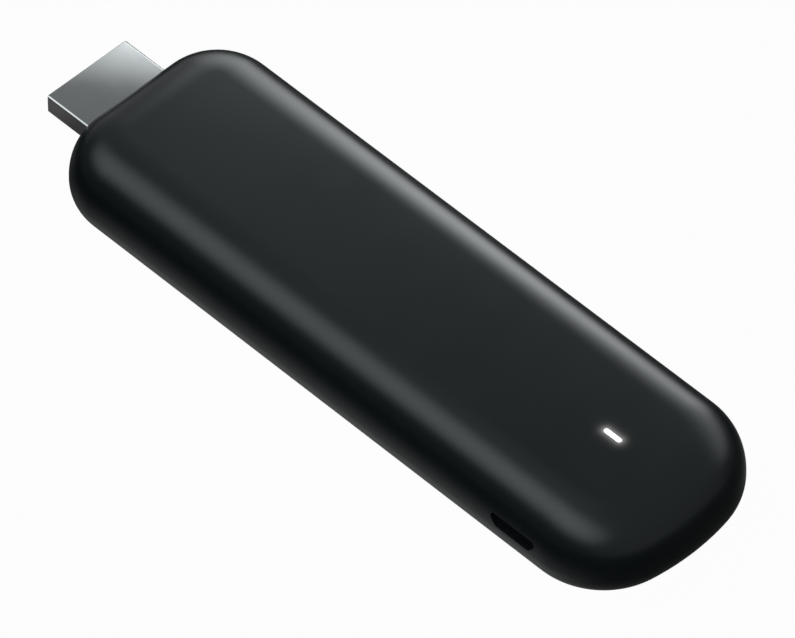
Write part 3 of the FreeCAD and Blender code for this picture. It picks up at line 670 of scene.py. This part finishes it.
def casingWall(inset, low, high):
    # an upright solid with the casing's outline, drawn in
    return casingPart(inset=inset, bottomReach=0.0, topReach=0.0, bulgeHeight=high + over,
                      top=high + 2 * over, bottomPower=2.0, fromHeight=low, toHeight=high, rings=1)


def arrayOf(items, key, parts=1, kind=float):
    # a value of every item, as an array
    values = np.empty(len(items) * parts, kind)
    items.foreach_get(key, values)
    return values.reshape(-1, parts) if parts > 1 else values


skinFit = {"offRule": 0.004, "leastAgreement": 0.93}


def exactNormals(place):
    # the normals of the casing's rule at these points, and which points lie on it
    x, y, z = place.T
    noseArc, lampArc, cornerArc, noseTurn = outlineArcs(casing, math.sqrt, math.asin)
    noseX, (lampX, lampY, _), (cornerX, cornerY, _) = noseArc[0], lampArc, cornerArc
    side, flank = np.abs(y), np.where(y < 0, -1.0, 1.0)
    outX, outY, inset = np.zeros(len(x)), np.ones(len(x)), casing["width"] / 2 - side
    atNose = (np.arctan2(side, x - noseX) <= noseTurn) & (x > cornerX)
    atLamp = ~atNose & (x > lampX) & (side > lampY)
    atCorner = (x < cornerX) & (side > cornerY)
    atEnd = (x < cornerX) & ~atCorner
    for where, (cx, cy, radius) in ((atNose, noseArc), (atLamp, lampArc), (atCorner, cornerArc)):
        dx, dy = x[where] - cx, side[where] - cy
        far = np.maximum(np.hypot(dx, dy), tiny)
        outX[where], outY[where], inset[where] = dx / far, dy / far, radius - far
    outX[atEnd], outY[atEnd], inset[atEnd] = -1.0, 0.0, x[atEnd] - casing["plugEnd"]
    bulge, top = casing["bulgeHeight"], casing["top"]
    upper = z >= bulge
    reach = np.where(upper, casing["topReach"], casing["bottomReach"])
    rise = np.where(upper, top - bulge, bulge)
    power = np.where(upper, casing["topPower"], casing["bottomPower"])
    across = np.clip((reach - inset) / reach, 0, 1)
    climbed = np.clip(np.abs(z - bulge) / rise, 0, 1)
    level = across ** (power - 1) / reach
    upright = climbed ** (power - 1) / rise * np.where(upper, 1.0, -1.0)
    exact = np.stack([outX * level, outY * flank * level, upright], 1)
    exact /= np.maximum(np.linalg.norm(exact, axis=1), tiny)[:, None]
    return exact, np.abs(across ** power + climbed ** power - 1) < skinFit["offRule"]


def skinNormals(mesh):
    # gives the outer skin the exact normals of its rule, so that cuts in it leave no dents in the shine
    exact, onSkin = exactNormals(arrayOf(mesh.vertices, "co", 3))
    corners, used = arrayOf(mesh.corner_normals, "vector", 3), arrayOf(mesh.loops, "vertex_index", kind=int)
    flat, sizes = arrayOf(mesh.polygons, "normal", 3), arrayOf(mesh.polygons, "loop_total", kind=int)
    faceOf = np.repeat(np.arange(len(sizes)), sizes)
    agrees = np.einsum("ij,ij->i", flat[faceOf], exact[used]) > skinFit["leastAgreement"]
    allGood = np.ones(len(sizes), bool)
    np.logical_and.at(allGood, faceOf, onSkin[used] & agrees)
    good = allGood[faceOf]
    corners[good] = exact[used][good]
    mesh.normals_split_custom_set(corners)
    print("  exact normals on", int(good.sum()), "of", len(good), "corners")


socketPlace = {
    "x": 38.275, "mouth": -15.05, "back": -10.05, "middle": 6.175, "width": 7.5, "bottomWidth": 5.7,
    "height": 2.45, "sideDrop": 1.1, "sheet": 0.25, "corner": 0.3, "roundSteps": 6, "lip": 0.08,
    "pegIn": 0.6, "pegBehind": 1.25, "pegDrop": 0.6, "pegRadius": 0.3, "pegSides": 20,
    "slotWidth": 7.5, "slotBottom": 5.7, "slotLow": 5.25, "slotHigh": 7.15, "slotDrop": 0.85,
    "slotCorner": 0.5, "slotSteps": 10, "pocketBack": -12.2, "pocketGap": 0.15,
}
videoPlug = {
    "tip": -54.775, "rear": -40.725, "middle": 4.95, "width": 13.9, "height": 4.45, "sideDrop": 2.9,
    "stepIn": 1.2, "stepDrop": 0.95, "corner": 0.3, "leastCorner": 0.2, "inner": 0.1, "sheet": 0.35,
    "bevel": 0.15, "lip": 0.06, "holeGap": 0.1, "rearGap": 0.1, "roundSteps": 6,
    "tabLength": 4.0, "tabRise": 1.3, "tabDrop": 0.5, "tabRoot": 0.3,
}


def plugLoop(shrink, radius, x):
    size = videoPlug
    halfTop, halfHeight = size["width"] / 2 - shrink, size["height"] / 2 - shrink
    halfBottom = halfTop - size["stepIn"]
    stepTop = size["height"] / 2 - size["sideDrop"] + shrink / 2
    stepBottom = stepTop - size["stepDrop"]
    right = [(halfTop, halfHeight), (halfTop, stepTop), (halfBottom, stepBottom), (halfBottom, -halfHeight)]
    return [(x, a, b + size["middle"]) for a, b in roundLoop(mirrored(right), radius, size["roundSteps"])]


def socketLoop(shrink, y):
    size = socketPlace
    halfTop, halfHeight = size["width"] / 2 - shrink, size["height"] / 2 - shrink
    halfBottom = size["bottomWidth"] / 2 - shrink / 2
    step = size["height"] / 2 - size["sideDrop"]
    right = [(halfTop, halfHeight), (halfTop, step), (halfBottom, -halfHeight)]
    outline = roundLoop(mirrored(right), size["corner"], size["roundSteps"])
    return [(a + size["x"], y, b + size["middle"]) for a, b in outline]


def slotLoop(y):
    # the slot in the casing: a little less tall than the shell behind it
    size, half, high = socketPlace, socketPlace["slotWidth"] / 2, socketPlace["slotHigh"]
    right = [(half, high), (half, high - size["slotDrop"]), (size["slotBottom"] / 2, size["slotLow"])]
    outline = roundLoop(mirrored(right), size["slotCorner"], size["slotSteps"])
    return [(a + size["x"], y, b) for a, b in outline]


def hookBlocks(extra):
    innerY, top = casing["width"] / 2 - inside["wall"], inside["seam"] + inside["lipHeight"]
    z = (top - inside["hookHeight"] - extra, top + extra)
    middle = (casing["plugEnd"] + casing["lampEnd"]) / 2
    near = innerY - inside["lipGap"] - inside["lip"] / 2
    far = innerY + inside["hookDepth"] - inside["hookGap"] + extra
    blocks = []
    for along in row(inside["hookCount"], inside["hookPitch"]):
        x = span(middle + along, inside["hookLength"] + 2 * extra)
        blocks += [blockForm(x, (near, far), z), blockForm(x, (-far, -near), z)]
    return blocks


def bossPlaces():
    half = casing["width"] / 2
    ends = [(casing["plugEnd"] + inside["bossPlugEnd"], half - inside["bossPlugSide"]),
            (casing["lampEnd"] - inside["bossLampEnd"], half - inside["bossLampSide"])]
    return [(x, side * y) for x, y in ends for side in (-1, 1)]


def makeTopShell():
    lamp, socket, ceiling = lampPlace, socketPlace, casing["top"] - inside["ceiling"]
    boardTop, pocketGap = inside["boardTop"], socket["pocketGap"]
    skin = casingPart(fromHeight=inside["seam"], toHeight=casing["top"])
    room = casingPart(inset=inside["wall"], topReach=inside["roomReach"], bottomReach=0.0, top=ceiling,
                      fromHeight=inside["seam"] - over, toHeight=ceiling, rings=inside["roomRings"])
    bosses = [postForm(x, y, boardTop, ceiling + over / 2, inside["bossRadius"]) for x, y in bossPlaces()]
    shell = join(cut(skin, room), *bosses)
    pilots = [postForm(x, y, boardTop - over / 2, inside["pilotTop"], inside["pilotRadius"],
                       inside["pilotSides"]) for x, y in bossPlaces()]
    lampHole = barForm(lamp["x"], ceiling - over, casing["top"] + over, lamp["length"] + lamp["holeGap"],
                       lamp["width"] + lamp["holeGap"])
    plugHole = loopTube([plugLoop(-videoPlug["holeGap"], videoPlug["corner"], x)
                         for x in (casing["plugEnd"] - over, casing["plugEnd"] + inside["wall"] + over)])
    slot = loopTube([slotLoop(y) for y in (-casing["width"] / 2 - over, socket["mouth"] + over)])
    pocket = blockForm(span(socket["x"], socket["width"] + 2 * pocketGap),
                       (socket["mouth"], socket["pocketBack"]),
                       (inside["boardBottom"] - pocketGap, boardTop + socket["height"] + pocketGap))
    shell = cut(shell, *pilots, lampHole, plugHole, slot, pocket, *hookBlocks(inside["hookGap"]))
    return finishPiece("topShell", shell, "casing_plastic", ["top_shell"], skinNormals)


def makeBottomCover():
    size = videoPlug
    seam, bulge, power = inside["seam"], casing["bulgeHeight"], casing["bottomPower"]
    plate = casingPart(fromHeight=0.0, toHeight=seam, rings=inside["coverRings"])
    atSeam = 1 - ((bulge - seam) / bulge) ** power
    grooveInset = casing["bottomReach"] * (1 - atSeam ** (1 / power)) + inside["grooveDepth"]
    grooveLow = seam - inside["grooveHeight"]
    rim = cut(casingWall(-over, grooveLow, seam + over),
              casingWall(grooveInset, grooveLow - over, seam + 2 * over))
    lipOuter, lipTop = inside["wall"] + inside["lipGap"], seam + inside["lipHeight"]
    lip = cut(casingWall(lipOuter, seam - over / 2, lipTop),
              casingWall(lipOuter + inside["lip"], seam, lipTop + over))
    cover = join(cut(plate, rim), lip, *hookBlocks(0))
    plugBottom = size["middle"] - size["height"] / 2 - size["holeGap"]
    plugRoom = blockForm((casing["plugEnd"], size["rear"] + size["rearGap"]),
                         span(0, size["width"] + 2 * size["holeGap"]), (plugBottom, lipTop + over))
    cover = cut(cover, plugRoom)
    return finishPiece("bottomCover", cover, "casing_plastic", ["bottom_cover"], skinNormals)


topShell = makeTopShell()
bottomCover = makeBottomCover()
print("casing made,", len(topShell.data.polygons) + len(bottomCover.data.polygons), "faces")


# Video plug: folded sheet with a rolled mouth and its joint underneath

plugJoint = {
    "gap": 0.05, "past": 0.2, "depth": 0.12,
    "line": [(1.6, 0.0), (1.9, 0.75), (3.3, 0.75), (3.6, 0.0),
             (5.0, 0.0), (5.3, -0.75), (6.7, -0.75), (7.0, 0.0)],
}


def makePlugShell():
    size, joint = videoPlug, plugJoint
    tip, rear, sheet, corner = size["tip"], size["rear"], size["sheet"], size["corner"]
    loops = [plugLoop(0, corner, rear)]
    for back, far in roundedOver(size["bevel"], [0, 22.5, 45, 67.5, 90]):
        loops.append(plugLoop(back, max(corner - back, size["leastCorner"]), tip + far))
    for back, far in roundedOver(size["lip"], [90, 45, 0]):
        loops.append(plugLoop(sheet - back, size["inner"], tip + far))
    loops.append(plugLoop(sheet, size["inner"], rear))
    shell = loopTube(loops, ends=False)
    x = (rear - size["tabRoot"], rear + size["tabLength"])
    z = (inside["boardBottom"] - size["tabDrop"], inside["boardTop"] + size["tabRise"])
    tabs = [blockForm(x, span(side * (size["width"] - sheet) / 2, sheet), z) for side in (-1, 1)]
    shell = join(shell, *tabs)
    # joint of the folded sheet: a hairline with two dovetails
    under, half = size["middle"] - size["height"] / 2, joint["gap"] / 2
    line = [(tip - over, 0.0), *[(tip + x, y) for x, y in joint["line"]], (rear + over, 0.0)]
    line = [(x, y - half) for x, y in line] + [(x, y + half) for x, y in reversed(line)]
    seam = loopTube([lift(line, under - joint["past"]), lift(line, under + joint["depth"])])
    return finishPiece("plugShell", cut(shell, seam), "plug_steel", ["plug_shell"], crease=40)


makePlugShell()


# Contacts: one is drawn, a tree repeats it

def rowTree():
    tree, given = newTree("rowOfCopies", {"Count": "Int", "Step": "Vector"})
    line = addNode(tree, "GeometryNodeMeshLine", {
        "Count": given["Count"], "Offset": given["Step"]}, mode="OFFSET")
    copies = addNode(tree, "GeometryNodeInstanceOnPoints", {
        "Points": line.outputs[0], "Instance": given["Geometry"]})
    closeTree(tree, copies.outputs[0], given["Material"])
    return tree


rowOfCopies = rowTree()


def rowOf(one, count, step):
    # this many contacts, each a step on from the one before
    inputs = {"Count": count, "Step": step, "Material": finishes["contactGold"]}
    return shapeFromTree(rowOfCopies, inputs, one)


def bladeForm(outline, across, width, edge):
    # a strip of sheet with this side outline, from one width place on, its edges broken
    blade = loopTube([[(a, place, b) for a, b in outline] for place in (across, across + width)])
    return outwards(reworked(blade, lambda work: bmesh.ops.bevel(
        work, geom=work.edges[:], offset=edge, segments=2, profile=0.5, affect="EDGES", clamp_overlap=True)))


plugPins = {
    "pitch": 1.0, "width": 0.36, "sheet": 0.15, "upper": 10, "lower": 9, "setback": 1.1, "proud": 0.05,
    "slot": 1.7, "slope": 0.6, "tail": 2.0, "edge": 0.03, "nose": 0.25, "noseTurn": 0.6, "noseFlat": 0.02,
    "past": 0.1,
}


def makePlugContacts():
    pin, rows = plugPins, []
    front, bend = videoPlug["tip"] + pin["setback"], videoPlug["rear"] + pin["past"]
    land = bend + pin["slope"]
    foot, first = land + pin["tail"], -pin["width"] / 2
    boards = ((pin["upper"], 1, inside["boardTop"]), (pin["lower"], -1, inside["boardBottom"]))
    for count, out, board in boards:
        face = videoPlug["middle"] + out * (pin["slot"] / 2 - pin["proud"])
        sheet, shift = out * pin["sheet"], pin["sheet"] / 2
        outline = [(front, face + sheet * pin["noseTurn"]), (front + pin["nose"], face), (bend, face),
                   (land, board), (foot, board), (foot, board + sheet), (land + shift, board + sheet),
                   (bend + shift, face + sheet), (front + pin["noseFlat"], face + sheet)]
        one = bladeForm(outline, row(count, pin["pitch"])[0] + first, pin["width"], pin["edge"])
        rows.append(rowOf(one, count, (0, pin["pitch"], 0)))
    return finishPiece("plugContacts", together(rows), "contact_gold", ["plug_contacts"])


makePlugContacts()
print("video plug made")


# Power socket

def makeSocketShell():
    size, boardTop = socketPlace, inside["boardTop"]
    mouth, back, sheet = size["mouth"], size["back"], size["sheet"]
    outer = [socketLoop(draw, mouth + far) for draw, far in roundedOver(size["lip"], [0, 45, 90])]
    inner = [socketLoop(sheet - draw, mouth + far) for draw, far in roundedOver(size["lip"], [90, 45, 0])]
    shell = loopTube([socketLoop(0, back), *outer, *inner, socketLoop(sheet, back)], ends=False)
    spread = size["bottomWidth"] / 2 - size["pegIn"]
    pegs = [postForm(size["x"] + side * spread, back - size["pegBehind"], boardTop - size["pegDrop"],
                     boardTop + sheet / 2, size["pegRadius"], size["pegSides"]) for side in (-1, 1)]
    return finishPiece("socketShell", join(shell, *pegs), "socket_steel", ["socket_shell"], crease=40)


socketPins = {
    "count": 5, "pitch": 0.65, "width": 0.35, "sheet": 0.12, "setback": 1.15, "tail": 1.1, "under": 6.025,
    "edge": 0.02, "nose": 0.1, "noseTurn": 0.04,
}


def makeSocketContacts():
    pin, pitch, sheet = socketPins, socketPins["pitch"], socketPins["sheet"]
    front, bend = socketPlace["mouth"] + pin["setback"], socketPlace["back"]
    low, high, board = pin["under"] - sheet, pin["under"], inside["boardTop"]
    land, tail = bend + pin["tail"] / 2, bend + pin["tail"] + sheet
    outline = [(front, low + pin["noseTurn"]), (front + pin["nose"], low), (bend, low), (land, board),
               (tail, board), (tail, board + sheet), (land + sheet, board + sheet), (bend + sheet, high),
               (front, high)]
    one = bladeForm(outline, 0, pin["width"], pin["edge"])
    first = socketPlace["x"] + row(pin["count"], pitch)[0] - pin["width"] / 2
    one.transform(Matrix(((0, 1, 0, first), (1, 0, 0, 0), (0, 0, 1, 0), (0, 0, 0, 1))))
    made = rowOf(outwards(one), pin["count"], (pitch, 0, 0))
    return finishPiece("socketContacts", made, "contact_gold", ["socket_contacts"])


makeSocketShell()
makeSocketContacts()
print("power socket made")


# Status lamp

lightPipe = {
    "edge": 0.05, "windowRoot": 0.2, "flangeHeight": 0.8, "flangeLength": 5.0, "flangeWidth": 2.8,
    "stemLow": 5.85, "stemRoot": 0.6, "stemLength": 3.2, "stemWidth": 1.6,
}


def makeLightPipe():
    size, lamp, x, top = lightPipe, lampPlace, lampPlace["x"], casing["top"]
    ceiling = top - inside["ceiling"]
    window = barForm(x, ceiling - size["windowRoot"], top, lamp["length"], lamp["width"], size["edge"])
    flange = barForm(x, ceiling - size["flangeHeight"], ceiling, size["flangeLength"], size["flangeWidth"])
    stem = barForm(x, size["stemLow"], ceiling - size["stemRoot"], size["stemLength"], size["stemWidth"])
    return finishPiece("lightPipe", join(flange, window, stem), "light_guide", ["light_pipe"])


makeLightPipe()
print("status lamp made")


# Floor, light and camera

studio = {
    "floorReach": 2, "floorDrop": 0.00002, "floorColour": (0.92, 0.92, 0.92), "floorRough": 0.9,
    "floorGloss": 0.1, "floorShine": 0.975,
    "world": 0.0253, "backdrop": 0.98, "backdropGloss": 0.02,
    "matHalf": 0.6, "matRise": 0.00005, "matTone": 0.01, "matRough": 1.0, "matGloss": 0.0,
    "matOpen": 0.54, "matReach": 0.0054,
    "matShade": 0.55, "matShadeReach": 0.0006, "matPast": 0.036, "largestPower": 30.0,
    "matGap": {"low": -0.0445, "lowFade": 0.0040, "high": 0.0487, "highFade": 0.0026},
    "matSpot": {"at": (-0.0595, 0.0105), "radius": 0.0042, "share": 0.105},
    "lampColour": (1, 1, 1), "plugLampColour": (0.93, 1.0, 1.01),
    "lamps": {
        "overLong": dict(at=(0.004, 0, 0.008), towards=(-0.489, 0.811, 0.322), far=0.084,
                         size=(0.137, 0.057), radiance=4.37),
        "nearSide": dict(at=(0.004, 0, 0.008), towards=(-0.196, -0.625, 0.756), far=0.284,
                         size=(0.9, 0.284), radiance=1.88),
        "lampEnd": dict(at=(0.04, 0, 0.008), towards=(0.656, -0.050, 0.753), far=0.07,
                        size=(0.332, 0.524), radiance=0.29),
        "plugEnd": dict(at=(-0.03, 0, 0.008), towards=(-0.861, 0.407, 0.305), far=0.07,
                        size=(0.102, 0.9), radiance=0.33),
        "corner": dict(at=(0.045, 0.01, 0.008), towards=(-0.226, 0.837, 0.498), far=0.07,
                       size=(0.159, 0.053), radiance=1.46),
    },
    "plugLamps": {  # these light the plug alone, and the others leave it out
        "plugBehind": dict(at=(-0.05, 0, 0.006), towards=(-0.562, 0.628, 0.538), far=0.057,
                           size=(0.054, 0.020), radiance=1.21, card=0.5),
        "plugAbove": dict(at=(-0.05, 0, 0.006), towards=(-0.809, 0.210, 0.549), far=0.045,
                          size=(0.231, 0.282), radiance=0.19),
        "plugNear": dict(at=(-0.05, 0, 0.006), towards=(-0.697, -0.668, 0.262), far=0.051,
                         size=(0.050, 0.158), radiance=1.46),
        "plugFar": dict(at=(-0.051, 0.007, 0.0078), towards=(-0.472, 0.725, 0.495), far=0.08,
                        size=(0.05, 0.012), radiance=6.0),
    },
}


def showAs(tree, shader):
    tree.links.new(shader, tree.nodes["Material Output"].inputs["Surface"])


def seenShare(tree, gloss=1.0):
    # 1 for what the camera sees, and this much for what shows in metal and through glass
    path = addNode(tree, "ShaderNodeLightPath")
    kinds = ("Glossy", "Transmission", "Camera")
    shiny, through, seen = [Field(tree, path.outputs[f"Is {kind} Ray"]) for kind in kinds]
    return (shiny.calc("MAXIMUM", through) * gloss).calc("MAXIMUM", seen)


def mixedShaders(tree, share, first, second):
    return addNode(tree, "ShaderNodeMixShader", {0: share, 1: first, 2: second}).outputs[0]


def levelSheet(name, finish, far, height, colour, rough, gloss):
    # a square sheet round the middle, with a plain finish to build on
    corners = [(x, y, height) for x, y in ((-far, -far), (far, -far), (far, far), (-far, far))]
    plane = meshFrom(corners, [(0, 1, 2, 3)])
    material, tree, shader, place = newFinish(finish)
    feed(tree, shader, {"Base Color": (*colour, 1), "Roughness": rough, "Specular IOR Level": gloss})
    plane.materials.append(material)
    return inScene(name, plane), tree, shader.outputs[0], place


def makeFloor():
    # white paper a hair below the stick, seen from above only, so that the underside can be looked at
    floor, tree, paper, _ = levelSheet("floor", "floorPaper", studio["floorReach"], -studio["floorDrop"],
                                       studio["floorColour"], studio["floorRough"], studio["floorGloss"])
    glow = addNode(tree, "ShaderNodeEmission", {"Color": (1, 1, 1, 1), "Strength": 1.0}).outputs[0]
    clear = addNode(tree, "ShaderNodeBsdfTransparent").outputs[0]
    below = addNode(tree, "ShaderNodeNewGeometry").outputs["Backfacing"]
    white = mixedShaders(tree, seenShare(tree) * studio["floorShine"], paper, glow)
    showAs(tree, mixedShaders(tree, below, white, clear))


def makeMat():
    # a dark cloth round the stick, off camera: it keeps the white floor out of the black skin, and leaves
    # open a narrow strip beside the casing, a little past the lamp end and a spot on either side of the plug
    mat, tree, cloth, place = levelSheet("darkCloth", "darkCloth", studio["matHalf"], studio["matRise"],
                                         [studio["matTone"]] * 3, studio["matRough"], studio["matGloss"])
    x, y, _ = axesOf(tree, place)
    gap, half = studio["matGap"], casing["width"] / 2 * mm
    away = (y.calc("ABSOLUTE") - half).aboveZero()
    ends = [(x - gap["high"]) / gap["highFade"], (x * -1.0 + gap["low"]) / gap["lowFade"]]
    shut = [past.calc("MINIMUM", studio["largestPower"]).calc("EXPONENT") + 1.0 for past in ends]
    strip = away.fade(studio["matReach"]) * studio["matOpen"] / (shut[0] * shut[1])
    # painted shadow: the open strip is darker close to the casing, in place of the stick's contact shadow on
    # the floor as it shows in the skin
    strip = strip * (away.fade(studio["matShadeReach"]) * -studio["matShade"] + 1.0)
    pastEnd = (shut[0] ** -1.0) * -studio["matPast"] + studio["matPast"]
    spot = studio["matSpot"]
    offX, offY = x - spot["at"][0], y.calc("ABSOLUTE") - spot["at"][1]
    hole = ((offX * offX + offY * offY) * (-0.5 / spot["radius"] ** 2)).calc("EXPONENT") * spot["share"]
    clear = addNode(tree, "ShaderNodeBsdfTransparent").outputs[0]
    showAs(tree, mixedShaders(tree, strip + pastEnd + hole, cloth, clear))
    mat.visible_camera = mat.visible_shadow = False


def makeWorld():
    # even air that lights the stick, seen as a pale backdrop by the camera and, faintly, by polished faces
    world = bpy.data.worlds.new("studioAir")
    bpy.context.scene.world = world
    world.use_nodes = True
    tree = world.node_tree
    air = tree.nodes["Background"]
    air.inputs["Color"].default_value = (1, 1, 1, 1)
    pale, dim = studio["backdrop"], studio["world"]
    plug(tree, air.inputs["Strength"], seenShare(tree, studio["backdropGloss"]) * (pale - dim) + dim)


def softEdges(data, card):
    # brightest in the middle and fading to nothing at its edges, as a lamp behind thick cloth, with a black
    # card that covers this share of its height from below
    data.use_nodes = True
    tree = data.node_tree
    across, up, _ = axesOf(tree, addNode(tree, "ShaderNodeNewGeometry").outputs["Parametric"])
    fade = [(place * math.pi).calc("SINE").aboveZero() for place in (across, up * (1 - card) + card)]
    plug(tree, tree.nodes["Emission"].inputs["Strength"], fade[0] * fade[1])


def makeLamp(name, look, link, colour):
    data = bpy.data.lights.new(name, "AREA")
    data.shape = "RECTANGLE"
    data.size, data.size_y = look["size"]
    data.energy = look["radiance"] * math.pi * data.size * data.size_y
    data.color = colour
    softEdges(data, look.get("card", 0.0))
    lamp = inScene(name, data)
    away = Vector(look["towards"]).normalized()
    lamp.location = Vector(look["at"]) + away * look["far"]
    lamp.rotation_euler = away.to_track_quat("Z", "Y").to_euler()
    lamp.visible_camera = False
    lit = bpy.data.collections.new(name + "Lights")
    lit.objects.link(bpy.data.objects["plugShell"])
    lit.collection_objects[0].light_linking.link_state = link
    lamp.light_linking.receiver_collection = lit


def makeLamps():
    for name, look in studio["lamps"].items():
        makeLamp(name, look, "EXCLUDE", studio["lampColour"])
    for name, look in studio["plugLamps"].items():
        makeLamp(name, look, "INCLUDE", studio["plugLampColour"])


view = {
    "eye": (0.685867, -0.673486, 1.087500), "round": 45.44, "up": 48.456, "reach": (0.1, 20.0),
    "sensor": 36.0, "longer": 11500 / 795,  # focal length in widths of the picture
}


def makeCamera():
    data = bpy.data.cameras.new("camera")
    data.sensor_fit, data.sensor_width = "HORIZONTAL", view["sensor"]
    data.lens = view["longer"] * view["sensor"]
    data.clip_start, data.clip_end = view["reach"]
    camera = inScene("camera", data)
    camera.location = view["eye"]
    camera.rotation_euler = (math.radians(90 - view["up"]), 0, math.radians(view["round"]))
    bpy.context.scene.camera = camera


makeFloor()
makeMat()
makeWorld()
makeLamps()
makeCamera()
bpy.context.scene.view_settings.view_transform = "Standard"
print("studio made")
